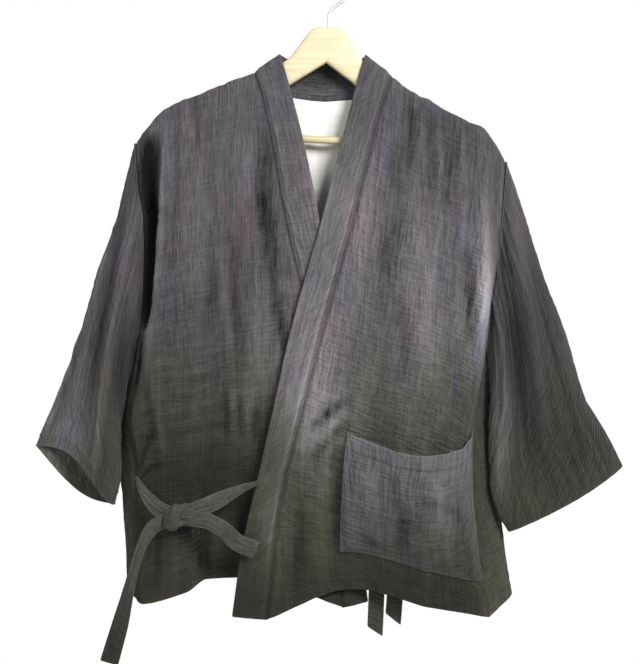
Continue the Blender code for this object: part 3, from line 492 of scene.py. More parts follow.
# ---------------------------------------------------------------- curves and fields
def pchip(places: Sequence[float] | Array, values: Sequence | Array, at: Sequence | Array) -> Array:
    """Reads a smooth curve that never overshoots the values it passes through.

    Args:
        places: Rising places of the values.
        values: Values, with one row for each place; rows may have columns.
        at: Places to read.

    Returns:
        The values there, with the columns of values.
    """
    places = np.asarray(places, float)
    values = np.asarray(values, float)
    at = np.atleast_1d(np.asarray(at, float))
    flat = values.ndim == 1
    values = values[:, None] if flat else values
    step = np.diff(places)[:, None]
    rise = np.diff(values, axis=0) / step
    slope = np.zeros_like(values)
    slope[0], slope[-1] = rise[0], rise[-1]
    if len(places) > 2:
        before, after = rise[:-1], rise[1:]
        w1, w2 = 2 * step[1:] + step[:-1], step[1:] + 2 * step[:-1]
        same = before * after > 0
        safe_before, safe_after = np.where(same, before, 1), np.where(same, after, 1)
        slope[1:-1] = np.where(same, (w1 + w2) / (w1 / safe_before + w2 / safe_after), 0)
    k = np.clip(np.searchsorted(places, at, side="right") - 1, 0, len(step) - 1)
    h = step[k]
    t = ((at - places[k])[:, None]) / h
    found = ((1 + 2 * t) * (1 - t) ** 2 * values[k] + t * (1 - t) ** 2 * h * slope[k]
             + t * t * (3 - 2 * t) * values[k + 1] + t * t * (t - 1) * h * slope[k + 1])
    return found[:, 0] if flat else found


def between(keys: Sequence[float], step: float) -> Array:
    """Returns the keys and evenly spaced places between them, no further apart than step."""
    spans = [np.linspace(a, b, max(1, math.ceil((b - a) / step - 1e-9)), endpoint=False)
             for a, b in zip(keys, keys[1:])]
    return np.concatenate([*spans, np.array(keys[-1:])])


def unit(vectors: Array) -> Array:
    """Returns the vectors at length 1."""
    return vectors / np.maximum(np.linalg.norm(vectors, axis=-1, keepdims=True), 1e-9)


def smooth(x: Array) -> Array:
    """Returns x eased from 0 to 1 and held there outside that range."""
    x = np.clip(x, 0, 1)
    return x * x * (3 - 2 * x)


def row_at(rising: Array, value: float) -> float:
    """Returns the row, whole or in part, at which rising distances reach a value."""
    return float(np.interp(value, rising, np.arange(len(rising))))


def value_noise(u: Array, v: Array, seed: int) -> Array:
    """Reads smooth noise.

    Args:
        u: First coordinate, with one value of the noise for each unit.
        v: Second coordinate, of the same shape.
        seed: Which noise.

    Returns:
        Values from -1 to 1.
    """
    size = 256
    table = np.random.RandomState(seed).uniform(-1, 1, (size, size))
    iu, iv = np.floor(u).astype(int), np.floor(v).astype(int)
    fu, fv = smooth(u - iu), smooth(v - iv)
    iu, iv = iu % size, iv % size
    ju, jv = (iu + 1) % size, (iv + 1) % size
    return ((table[iu, iv] * (1 - fu) + table[ju, iv] * fu) * (1 - fv)
            + (table[iu, jv] * (1 - fu) + table[ju, jv] * fu) * fv)


def fold_height(points: Array, folds: Sequence[Crease]) -> Array:
    """Adds up the heights of creases placed in x and z.

    Args:
        points: Points of the cloth in mm, as an array that ends in x, y, z.
        folds: The creases.

    Returns:
        A height in mm for each point.
    """
    flat = points.reshape(-1, 3)[:, [0, 2]]
    height = np.zeros(len(flat))
    for fold in folds:
        knots = np.arange(len(fold.path))
        path = pchip(knots, fold.path, np.linspace(0, knots[-1], 14))
        near = np.full(len(flat), np.inf)
        along = np.zeros(len(flat))
        for k, (a, b) in enumerate(zip(path, path[1:])):
            way = b - a
            s = np.clip((flat - a) @ way / (way @ way), 0, 1)
            gap = np.linalg.norm(flat - a - s[:, None] * way, axis=1)
            closer = gap < near
            near = np.where(closer, gap, near)
            along = np.where(closer, (k + s) / (len(path) - 1), along)
        taper = np.sin(math.pi * np.clip(along, 0, 1)) ** 0.7
        wander = 1 + 0.25 * value_noise(along * 7, np.full_like(along, fold.width), 5)
        height += fold.height * taper * wander * np.exp(-(near / fold.width) ** 2)
    return height.reshape(points.shape[:-1])


def patch_share(points: Array, patches: Sequence[Patch]) -> Array:
    """Returns how much of each point lies in the soft-edged patches, from 0 to 1."""
    share = np.zeros(points.shape[:-1])
    for p in patches:
        far = ((points[..., 0] - p.x) / p.wide) ** 2 + ((points[..., 2] - p.z) / p.high) ** 2
        share = np.maximum(share, np.exp(-far))
    return share


def tone_with_painted_light(points: Array, tones: Sequence[Tone]) -> Array:
    """Returns how light the cloth's colour is at points, from its dye and from painted light and
    shade: 1 where no tone is laid.
    """
    tone = np.zeros(points.shape[:-1])
    for t in tones:
        reach = ((points[..., 0] - t.x) / t.wide) ** 2 + ((points[..., 2] - t.z) / t.high) ** 2
        tone += t.amount * np.exp(-reach)
    return 1 + tone


def lofted(across: Sequence[float], lines: Sequence[Array], columns: Array) -> Array:
    """Returns a grid [row, column, xyz] through lines of points that stand at across."""
    table = np.asarray(lines)
    rows = table.shape[1]
    found = pchip(across, table.reshape(len(table), rows * 3), columns)
    return found.reshape(len(columns), rows, 3).transpose(1, 0, 2)


def rolled(height: Array, top: float) -> Array:
    """Returns 0 on the shoulder ridge and 1 where the cloth has turned down over the hanger."""
    drop = np.clip((top - height) / ROLL, 0, 1)
    return np.sqrt(1 - (1 - drop) ** 2)


def ridge_height(x: Array | float) -> Array:
    """Returns the height of the shoulder ridge at x, on either side of the neck."""
    table = RIDGE_RIGHT if np.mean(x) < 0 else RIDGE_LEFT
    return pchip([r.x for r in table], [r.z for r in table], x)


# ---------------------------------------------------------------- cloth
@dataclass
class Sheet:
    """A grid of cloth: its middle surface with the way out, in mm.

    Rows run down the cloth. A closed sheet is a tube whose last column meets its first. An upright
    sheet hangs with its warp straight down, so its chart is measured across the level.
    """

    name: str
    grid: Array
    outward: tuple[float, float, float]
    thick: float = CLOTH
    closed: bool = False
    bulge: float = 0.6
    upright: bool = False
    tones: tuple[Tone, ...] = ()
    shade: Array | float = 1.0
    facing: Array = field(init=False)
    height: Array = field(init=False)
    chart: Array = field(init=False)
    to_first: Array = field(init=False)
    to_last: Array = field(init=False)
    to_top: Array = field(init=False)
    to_bottom: Array = field(init=False)

    def __post_init__(self) -> None:
        """Measures the cloth along its rows and columns."""
        self.facing = self.normals(self.grid)
        self.height = np.zeros(self.grid.shape[:2])
        grid = self.grid
        if self.closed:
            grid = np.concatenate([grid, grid[:, :1]], 1)
        across = np.linalg.norm(np.diff(grid, axis=1), axis=2)
        down = np.linalg.norm(np.diff(grid, axis=0), axis=2)
        s = np.concatenate([np.zeros((len(grid), 1)), np.cumsum(across, 1)], 1)
        t = np.concatenate([np.zeros((1, grid.shape[1])), np.cumsum(down, 0)], 0)
        self.chart = np.stack([self.level_places(grid) if self.upright else s, t], 2)
        count = self.grid.shape[1]
        self.to_first, self.to_last = s[:, :count], (s[:, -1:] - s)[:, :count]
        self.to_top, self.to_bottom = t[:, :count], (t[-1:] - t)[:, :count]

    @staticmethod
    def level_places(grid: Array) -> Array:
        """Returns places across a hanging cloth, measured level from its middle column."""
        across = np.linalg.norm(np.diff(grid[..., :2], axis=1), axis=2)
        s = np.concatenate([np.zeros((len(grid), 1)), np.cumsum(across, 1)], 1)
        middle = grid.shape[1] // 2
        return s - s[:, middle:middle + 1] + grid[:, middle:middle + 1, 0]

    def courses(self, grid: Array, axis: int) -> Array:
        """Returns the way the grid runs along an axis: the mean of the two steps that meet."""
        if self.closed and axis == 1:
            steps = unit(np.roll(grid, -1, 1) - grid)
            return steps + np.roll(steps, 1, 1)
        steps = unit(np.diff(grid, axis=axis))
        before = np.concatenate([steps.take([0], axis), steps], axis)
        after = np.concatenate([steps, steps.take([-1], axis)], axis)
        return before + after

    def normals(self, grid: Array) -> Array:
        """Returns unit normals of a grid that face outward on the whole."""
        n = unit(np.cross(self.courses(grid, 1), self.courses(grid, 0)))
        return -n if (n * self.outward).sum(2).mean() < 0 else n

    def crinkle(self, fields: Sequence[Crinkle], share: Array | float = 1.0) -> None:
        """Adds small crinkles that follow the cloth's own threads.

        Args:
            fields: The fields of crinkles.
            share: How much of them each point takes.
        """
        count = self.grid.shape[1]
        s, t = self.chart[:, :count, 0], self.chart[:, :count, 1]
        for f in fields:
            drift = 0.6 * value_noise(s / 60, t / 60, f.seed + 50)
            if f.across < f.down:
                found = value_noise(s / f.across + drift, t / f.down, f.seed)
            else:
                found = value_noise(s / f.across, t / f.down + drift, f.seed)
            self.height += found * f.height * share

    def seam(self, away: Array, seed: int) -> None:
        """Turns the cloth in at a seam and puckers it beside the stitches.

        Args:
            away: Distance of each point from the seam, mm.
            seed: Which puckers.
        """
        count = self.grid.shape[1]
        s, t = self.chart[:, :count, 0], self.chart[:, :count, 1]
        self.height *= smooth(away / FADE)
        self.height -= SEAM_DIP * (1 - smooth(away / SEAM_REACH))
        puckers = value_noise(s / 9 + t / 9, t / 11, seed) * smooth(away / 2) * np.exp(-away / 9)
        self.height += 0.7 * puckers

    def hem(self, away: Array, depth: float, seed: int) -> None:
        """Turns up a hem: a stitched groove, fuller cloth below it and puckers across it.

        Args:
            away: Distance of each point from the edge, mm.
            depth: How far the stitches are from the edge, mm.
            seed: Which puckers.
        """
        count = self.grid.shape[1]
        s = self.chart[:, :count, 0]
        self.height *= 0.45 + 0.55 * smooth((away - depth) / 25 + 0.2)
        self.height += 0.5 * smooth((depth - away) / 3)
        self.height -= 0.75 * np.exp(-((away - depth) / 1.8) ** 2)
        waves = value_noise(s / 8, away / 30, seed)
        self.height += 0.55 * waves * np.exp(-np.abs(away - depth) / 8)

    def settle(self) -> None:
        """Moves the surface by its height, outward."""
        self.grid = self.grid + self.facing * self.height[:, :, None]

    def at(self, row: Array, column: Array) -> tuple[Array, Array]:
        """Reads the outer face between its points.

        Args:
            row: Rows, which may lie between two.
            column: Columns, likewise.

        Returns:
            Points on the outer face and the way out there.
        """
        i = np.clip(np.floor(row).astype(int), 0, self.grid.shape[0] - 2)
        j = np.clip(np.floor(column).astype(int), 0, self.grid.shape[1] - 2)
        u, v = (row - i)[:, None], (column - j)[:, None]
        found = []
        for table in (self.grid, self.normals(self.grid)):
            upper = table[i, j] * (1 - v) + table[i, j + 1] * v
            lower = table[i + 1, j] * (1 - v) + table[i + 1, j + 1] * v
            found.append(upper * (1 - u) + lower * u)
        point, way = found[0], unit(found[1])
        return point + way * self.thick / 2, way

    def build(self, finish: bpy.types.Material, slot: str,
              nodes: Sequence[str]) -> bpy.types.Object:
        """Makes the cloth's object: two faces with a rounded edge between them.

        Args:
            finish: Its material.
            slot: Not used.
            nodes: The fixed model's nodes that it stands for.

        Returns:
            The object.
        """
        rows, columns = self.grid.shape[:2]
        half = self.facing * self.thick / 2
        layers = [self.grid + half, self.grid - half]
        points = [layer.reshape(-1, 3) for layer in layers]
        spans = columns if self.closed else columns - 1
        r, c = np.meshgrid(np.arange(rows - 1), np.arange(spans), indexing="ij")
        r, c = r.ravel(), c.ravel()
        corner = [(r, c), (r, c + 1), (r + 1, c + 1), (r + 1, c)]
        ids = np.stack([i * columns + j % columns for i, j in corner], 1)
        charts = np.stack([self.chart[i, j] for i, j in corner], 1)
        a, b, d = (points[0][ids[:, k]] for k in (0, 1, 3))
        if (np.cross(b - a, d - a) * self.facing.reshape(-1, 3)[ids[:, 0]]).sum() < 0:
            ids, charts = ids[:, ::-1], charts[:, ::-1]
        quads = [ids, ids[:, ::-1] + rows * columns]
        maps = [charts, charts[:, ::-1]]
        relief = [self.height.ravel(), -self.height.ravel()]
        wear = [self.wear().ravel()] * 2
        # The tone holds the dye with its painted light and shade; the outer face also takes the
        # sheet's painted shade of folds and seams.
        dye_and_painted_light = tone_with_painted_light(self.grid, self.tones)
        tone = [(dye_and_painted_light * self.shade).ravel(), dye_and_painted_light.ravel()]
        start = 2 * rows * columns
        for loop in self.rims():
            i, j = loop[:, 0], loop[:, 1]
            rim = self.grid[i, j % columns]
            inner_i = np.clip(i, 1, rows - 2)
            inner_j = j % columns if self.closed else np.clip(j, 1, columns - 2)
            face = self.facing[i, j % columns]
            out = rim - self.grid[inner_i, inner_j]
            out = unit(out - (out * face).sum(1, keepdims=True) * face)
            arcs = [i * columns + j % columns]
            turns = 3
            for k in range(1, turns + 1):
                angle = math.pi * k / (turns + 1)
                ring = (rim + face * (math.cos(angle) * self.thick / 2)
                        + out * (math.sin(angle) * self.bulge))
                points.append(ring)
                relief.append(np.zeros(len(ring)))
                wear.append(np.ones(len(ring)))
                tone.append(dye_and_painted_light[i, j % columns])
                arcs.append(start + np.arange(len(ring)))
                start += len(ring)
            arcs.append(i * columns + j % columns + rows * columns)
            here = self.chart[i, np.minimum(j, self.chart.shape[1] - 1)]
            for one, two in zip(arcs, arcs[1:]):
                ahead = np.roll(np.arange(len(one)), -1)
                quad = np.stack([one, two, two[ahead], one[ahead]], 1)
                quads.append(quad)
                maps.append(np.stack([here, here, here[ahead], here[ahead]], 1))
        vertices = np.concatenate(points) * MM
        faces = np.concatenate(quads)
        return mesh_object(f"{self.name}_cloth", vertices, faces, finish, nodes,
                           uv=np.concatenate(maps).reshape(-1, 2) * MM,
                           values={"relief": np.concatenate(relief), "wear": np.concatenate(wear),
                                   "tone": np.concatenate(tone)})

    def wear(self) -> Array:
        """Returns 1 at the edges, where the cloth is rubbed, falling to 0 inside."""
        away = np.minimum(self.to_top, self.to_bottom)
        if not self.closed:
            away = np.minimum(away, np.minimum(self.to_first, self.to_last))
        return np.exp(-away / 3.5)

    def rims(self) -> list[Array]:
        """Returns the closed loops of edge points as rows and columns."""
        rows, columns = self.grid.shape[:2]
        if self.closed:
            round_way = np.arange(columns)
            return [np.stack([np.zeros(columns, int), round_way], 1),
                    np.stack([np.full(columns, rows - 1), round_way[::-1]], 1)]
        top = [(0, c) for c in range(columns - 1)]
        last = [(r, columns - 1) for r in range(rows - 1)]
        bottom = [(rows - 1, c) for c in range(columns - 1, 0, -1)]
        first = [(r, 0) for r in range(rows - 1, 0, -1)]
        return [np.array(top + last + bottom + first)]


def mesh_object(name: str, vertices: Array, faces: Array | Sequence, finish: bpy.types.Material,
                nodes: Sequence[str] = (), uv: Array | None = None,
                values: dict[str, Array] | None = None) -> bpy.types.Object:
    """Makes a smooth mesh object that rides on the model's body.

    Args:
        name: Its name.
        vertices: Points in metres.
        faces: Rows of point numbers.
        finish: Its material.
        nodes: The fixed model's nodes that it stands for.
        uv: Places on the flat cloth in metres, one for each face corner.
        values: Named numbers, one for each point.

    Returns:
        The object.
    """
    mesh = bpy.data.meshes.new(name)
    mesh.from_pydata(np.asarray(vertices).tolist(), [], np.asarray(faces).tolist()
                     if isinstance(faces, np.ndarray) else list(faces))
    if uv is not None:
        layer = mesh.uv_layers.new(name="cloth")
        layer.data.foreach_set("uv", np.ascontiguousarray(uv, np.float32).ravel())
    for key, numbers in (values or {}).items():
        stored = mesh.attributes.new(key, "FLOAT", "POINT")
        stored.data.foreach_set("value", np.ascontiguousarray(numbers, np.float32))
    shell = bmesh.new()
    shell.from_mesh(mesh)
    bmesh.ops.recalc_face_normals(shell, faces=shell.faces)
    shell.to_mesh(mesh)
    shell.free()
    mesh.materials.append(finish)
    obj = bpy.data.objects.new(name, mesh)
    bpy.context.scene.collection.objects.link(obj)
    mesh.update()
    mesh.shade_smooth()
    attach(obj, BODY)
    if nodes:
        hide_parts(*nodes)
    LOG.info("%s: %d faces", name, len(faces))
    return obj


# ---------------------------------------------------------------- shader maths
class Value:
    """A number that changes over a surface. Arithmetic on it adds Math nodes."""

    def __init__(self, book: "NodeBook", socket: bpy.types.NodeSocket) -> None:
        """Wraps an output socket of a node in the book."""
        self.book = book
        self.socket = socket

    def _math(self, operation: str, first: "Value | float", second: "Value | float") -> "Value":
        """Adds a Math node on two numbers."""
        return self.book.add("ShaderNodeMath", {"operation": operation}, {0: first, 1: second})

    def __add__(self, other: "Value | float") -> "Value":
        """Adds."""
        return self._math("ADD", self, other)

    def __radd__(self, other: float) -> "Value":
        """Adds, reflected."""
        return self._math("ADD", other, self)

    def __sub__(self, other: "Value | float") -> "Value":
        """Subtracts."""
        return self._math("SUBTRACT", self, other)

    def __rsub__(self, other: float) -> "Value":
        """Subtracts, reflected."""
        return self._math("SUBTRACT", other, self)

    def __mul__(self, other: "Value | float") -> "Value":
        """Multiplies."""
        return self._math("MULTIPLY", self, other)

    def __rmul__(self, other: float) -> "Value":
        """Multiplies, reflected."""
        return self._math("MULTIPLY", other, self)

    def __truediv__(self, other: "Value | float") -> "Value":
        """Divides."""
        return self._math("DIVIDE", self, other)

    def __pow__(self, other: float) -> "Value":
        """Raises to a power."""
        return self._math("POWER", self, other)

    def clamped(self) -> "Value":
        """Returns the number held between 0 and 1."""
        return self.book.add("ShaderNodeClamp", {}, {0: self})

    def ramped(self, low: float, high: float) -> "Value":
        """Returns 0 at low and 1 at high, smoothly between."""
        return self.book.add("ShaderNodeMapRange", {"interpolation_type": "SMOOTHSTEP"},
                             {0: self, 1: low, 2: high, 3: 0.0, 4: 1.0})


class NodeBook:
    """The nodes of one material."""

    def __init__(self, name: str) -> None:
        """Starts a material with an empty node tree but for its shader and output."""
        self.material = bpy.data.materials.new(name)
        self.material.use_nodes = True
        self.tree = self.material.node_tree
        self.shader = self.tree.nodes["Principled BSDF"]

    def add(self, kind: str, settings: dict, sockets: dict, output: int | str = 0) -> Value:
        """Adds a node.

        Args:
            kind: Its type.
            settings: Its settings, set first; "stops" gives a ramp's places and colours.
            sockets: Values or links by the socket's name or number.
            output: The output to return.

        Returns:
            That output.
        """
        node = self.tree.nodes.new(kind)
        for key, value in settings.items():
            if key == "stops":
                ramp = node.color_ramp
                while len(ramp.elements) < len(value):
                    ramp.elements.new(0.5)
                for element, (place, colour) in zip(ramp.elements, value):
                    element.position = place
                    element.color = (*colour, 1)
            else:
                setattr(node, key, value)
        for key, value in sockets.items():
            if isinstance(value, Value):
                self.tree.links.new(value.socket, node.inputs[key])
            else:
                node.inputs[key].default_value = value
        return Value(self, node.outputs[output])

    def feed(self, **sockets: "Value | float | tuple") -> None:
        """Sets or links the shader's sockets; an underscore stands for a space in a name."""
        for key, value in sockets.items():
            socket = self.shader.inputs[key.replace("_", " ")]
            if isinstance(value, Value):
                self.tree.links.new(value.socket, socket)
            else:
                socket.default_value = value

    def uv(self) -> Value:
        """Returns the place on the flat cloth, in metres."""
        return self.add("ShaderNodeUVMap", {"uv_map": "cloth"}, {})

    def place(self) -> Value:
        """Returns the place on the object, in metres."""
        return self.add("ShaderNodeTexCoord", {}, {}, "Object")

    def stored(self, name: str) -> Value:
        """Returns a number stored on the mesh's points."""
        return self.add("ShaderNodeAttribute", {"attribute_name": name}, {}, "Fac")

    def part(self, vector: Value, axis: int) -> Value:
        """Returns one coordinate of a vector."""
        return self.add("ShaderNodeSeparateXYZ", {}, {0: vector}, axis)

    def noise(self, vector: Value, spacing: tuple[float, float, float], detail: float = 2.0,
              offset: float = 0.0) -> Value:
        """Returns noise from 0 to 1.

        Args:
            vector: Where to read it, in metres.
            spacing: Its grain along each axis, in mm.
            detail: Its octaves.
            offset: Which noise.

        Returns:
            The noise.
        """
        scale = tuple(1 / (s * MM) for s in spacing)
        moved = self.add("ShaderNodeMapping", {}, {"Vector": vector, "Scale": scale,
                                                   "Location": (offset, offset * 1.7, offset)})
        return self.add("ShaderNodeTexNoise", {}, {"Vector": moved, "Scale": 1.0,
                                                   "Detail": detail, "Roughness": 0.55})

    def mix(self, factor: Value | float, first: Value | tuple, second: Value | tuple,
            blend: str = "MIX") -> Value:
        """Returns two colours mixed."""
        first = (*first, 1) if isinstance(first, tuple) else first
        second = (*second, 1) if isinstance(second, tuple) else second
        return self.add("ShaderNodeMix", {"data_type": "RGBA", "blend_type": blend},
                        {0: factor, 6: first, 7: second}, 2)

    def bump(self, height: Value, depth: float, strength: float = 1.0,
             under: Value | None = None) -> Value:
        """Returns a normal bent by a height from 0 to 1 that is depth metres deep."""
        sockets: dict = {"Height": height, "Distance": depth, "Strength": strength}
        if under is not None:
            sockets["Normal"] = under
        return self.add("ShaderNodeBump", {}, sockets)


# ---------------------------------------------------------------- finishes
Colour = tuple[float, float, float]


@dataclass(frozen=True)
class GauzeFinish:
    """Crinkled double gauze, dyed so that soft patches of other tints run down it; its colour also
    carries painted light and shade.
    """

    name: str
    upper: Colour = (0.083, 0.077, 0.082)
    lower: Colour = (0.038, 0.042, 0.026)
    mauve: Colour = (0.100, 0.078, 0.088)
    blue: Colour = (0.080, 0.080, 0.100)
    green: Colour = (0.080, 0.085, 0.080)
    tinted: float = 0.85
    top: float = -0.34
    bottom: float = -0.75
    pitch: float = 1.15
    roughness: float = 0.93

    def make(self) -> bpy.types.Material:
        """Builds the material."""
        book = NodeBook(self.name)
        uv, place = book.uv(), book.place()
        tone = book.stored("tone")
        # Darker and more olive towards the bottom: partly the cloth's own colour, partly painted
        # shade where less light reaches; less so where the tone paints light.
        down = book.part(place, 2).ramped(self.top, self.bottom)
        down = down * (1 - ((tone - 1) * 0.6).clamped())
        patches_m = book.noise(place, (42, 60, 150), 1.5, 3.1).ramped(0.50, 0.66)
        patches_b = book.noise(place, (38, 60, 170), 1.5, 11.4).ramped(0.52, 0.68)
        patches_g = book.noise(place, (30, 60, 120), 1.5, 23.7).ramped(0.48, 0.66)
        colour = book.mix(patches_m * self.tinted, self.upper, self.mauve)
        colour = book.mix(patches_b * self.tinted, colour, self.blue)
        colour = book.mix(patches_g * (0.8 * self.tinted), colour, self.green)
        lower = book.mix(patches_g * 0.4, self.lower, (0.066, 0.052, 0.040))
        colour = book.mix(down, colour, lower)
        warp = book.noise(uv, (self.pitch, 34, 1), 2.0, 1.3)
        weft = book.noise(uv, (30, self.pitch, 1), 2.0, 7.9)
        streak = book.noise(uv, (3.4, 90, 1), 3.0, 5.5)
        bars = book.noise(uv, (70, 3.2, 1), 3.0, 15.5)
        threads = warp * 0.55 + weft * 0.45
        upright = book.noise(uv, (3.6, 24, 1), 2.0, 2.2).ramped(0.30, 0.68)
        level = book.noise(uv, (20, 3.8, 1), 2.0, 9.2).ramped(0.32, 0.68)
        crinkle = upright * (0.60 - down * 0.28) + level * (0.34 + down * 0.34)
        # The crinkles lighten the colour on their crests and darken it in their hollows: painted
        # light and shade, beside the weave's threads and the dye's streaks and bars.
        shade = 0.40 + crinkle * 0.46 + threads * 0.42 + (streak - 0.5) * 0.75 + (bars - 0.5) * 0.22
        # Painted light on raised relief and painted shade in sunk relief, from the folds and
        # crinkles stored on the points.
        relief = book.stored("relief")
        shade = shade + (relief * 0.10).clamped() - (relief * -0.10).clamped()
        # Lighter at the rubbed edges; the tone brings in the dye with its painted light and shade.
        shade = (shade + book.stored("wear") * 0.22) * tone
        grey = book.add("ShaderNodeCombineXYZ", {}, {0: shade, 1: shade, 2: shade})
        colour = book.mix(1.0, colour, grey, "MULTIPLY")
        slub = book.noise(uv, (1.6, 7.0, 1), 1.0, 31.0).ramped(0.80, 0.86)
        speck = book.noise(uv, (6.0, 1.5, 1), 1.0, 43.0).ramped(0.81, 0.87)
        colour = book.mix((slub + speck) * 0.35, colour, (0.30, 0.29, 0.27))
        bent = book.bump(crinkle, 0.0026, 0.9)
        bent = book.bump(threads, 0.0008, 0.7, bent)
        book.feed(Base_Color=colour, Roughness=self.roughness, Normal=bent,
                  Specular_IOR_Level=0.16, Sheen_Weight=0.10, Sheen_Roughness=0.6)
        return book.material


@dataclass(frozen=True)
class WhiteGauzeFinish:
    """Thin white gauze with faint crinkles across it."""

    name: str
    colour: Colour = (0.90, 0.89, 0.86)
    shaded: Colour = (0.76, 0.74, 0.70)

    def make(self) -> bpy.types.Material:
        """Builds the material."""
        book = NodeBook(self.name)
        uv = book.uv()
        bars = book.noise(uv, (60, 4.2, 1), 3.0, 3.0)
        threads = (book.noise(uv, (1.0, 20, 1), 2.0, 5.0) * 0.5
                   + book.noise(uv, (20, 1.0, 1), 2.0, 8.0) * 0.5)
        colour = book.mix((bars * 0.7 + threads * 0.5 - 0.2).clamped(), self.shaded, self.colour)
        bent = book.bump(bars, 0.0022, 0.5)
        bent = book.bump(threads, 0.0004, 0.4, bent)
        book.feed(Base_Color=colour, Roughness=0.92, Normal=bent, Specular_IOR_Level=0.2,
                  Sheen_Weight=0.08)
        return book.material


@dataclass(frozen=True)
class ThreadFinish:
    """Twisted sewing thread."""

    name: str
    colour: Colour = (0.042, 0.040, 0.038)

    def make(self) -> bpy.types.Material:
        """Builds the material."""
        book = NodeBook(self.name)
        twist = book.noise(book.place(), (0.35, 0.35, 0.35), 2.0, 1.0)
        colour = book.mix(twist, self.colour, tuple(c * 2.2 for c in self.colour))
        book.feed(Base_Color=colour, Roughness=0.7, Normal=book.bump(twist, 0.0002, 0.5))
        return book.material


@dataclass(frozen=True)
class WoodFinish:
    """Pale wood under a satin clear coat, with its grain along the hanger."""

    name: str
    pale: Colour = (0.66, 0.60, 0.40)
    dark: Colour = (0.56, 0.46, 0.27)

    def make(self) -> bpy.types.Material:
        """Builds the material."""
        book = NodeBook(self.name)
        place = book.place()
        warp = book.noise(place, (90, 30, 30), 2.0, 4.0)
        rings = book.noise(place, (160, 2.2, 3.0), 3.0, 9.0)
        pores = book.noise(place, (9, 0.5, 0.6), 2.0, 2.0)
        grain = (rings * 0.75 + warp * 0.45 - 0.1).clamped()
        colour = book.mix(grain.ramped(0.30, 0.75), self.pale, self.dark)
        colour = book.mix(pores.ramped(0.64, 0.74) * 0.45, colour, (0.48, 0.34, 0.17))
        book.feed(Base_Color=colour, Roughness=0.42 + pores * 0.16,
                  Normal=book.bump(pores, 0.0002, 0.35), Coat_Weight=0.35, Coat_Roughness=0.28)
        return book.material


@dataclass(frozen=True)
class WireFinish:
    """Polished steel wire with fine drawing lines."""

    name: str

    def make(self) -> bpy.types.Material:
        """Builds the material."""
        book = NodeBook(self.name)
        lines = book.noise(book.place(), (0.5, 0.5, 6), 2.0, 2.0)
        colour = book.mix(lines, (0.80, 0.80, 0.81), (0.93, 0.93, 0.94))
        book.feed(Base_Color=colour, Metallic=1.0, Roughness=0.30 + lines * 0.14,
                  Normal=book.bump(lines, 0.00005, 0.4))
        return book.material


@dataclass(frozen=True)
class FloorFinish:
    """Plain pale floor."""

    name: str

    def make(self) -> bpy.types.Material:
        """Builds the material."""
        book = NodeBook(self.name)
        mottle = book.noise(book.place(), (300, 300, 300), 2.0, 1.0)
        book.feed(Base_Color=book.mix(mottle, (0.84, 0.84, 0.83), (0.88, 0.88, 0.87)),
                  Roughness=0.8)
        return book.material


class Finish(Enum):
    """The finishes, by the slot they belong to."""

    CLOTH = "outer_cloth"
    LINING = "lining_cloth"
    WOOD = "hanger_wood"
    STEEL = "hook_steel"


# ---------------------------------------------------------------- the body
@dataclass
class Wardrobe:
    """The finishes, made once and shared by the pieces."""

    cloth: bpy.types.Material
    pocket: bpy.types.Material
    tie: bpy.types.Material
    lining: bpy.types.Material
    thread: bpy.types.Material
    wood: bpy.types.Material
    wire: bpy.types.Material
    floor: bpy.types.Material

    @classmethod
    def made(cls) -> "Wardrobe":
        """Builds every finish."""
        return cls(
            cloth=GauzeFinish("washed_double_gauze").make(),
            pocket=GauzeFinish("pocket_double_gauze", upper=(0.082, 0.086, 0.090),
                               lower=(0.062, 0.062, 0.054), tinted=0.4, top=-0.66,
                               bottom=-0.84).make(),
            tie=GauzeFinish("tie_double_gauze", upper=(0.060, 0.061, 0.050),
                            lower=(0.040, 0.041, 0.031), tinted=0.2, top=-0.74,
                            bottom=-0.92).make(),
            lining=WhiteGauzeFinish("white_gauze").make(),
            thread=ThreadFinish("dark_thread").make(),
            wood=WoodFinish("pale_hanger_wood").make(),
            wire=WireFinish("hook_wire").make(),
            floor=FloorFinish("studio_floor").make(),
        )


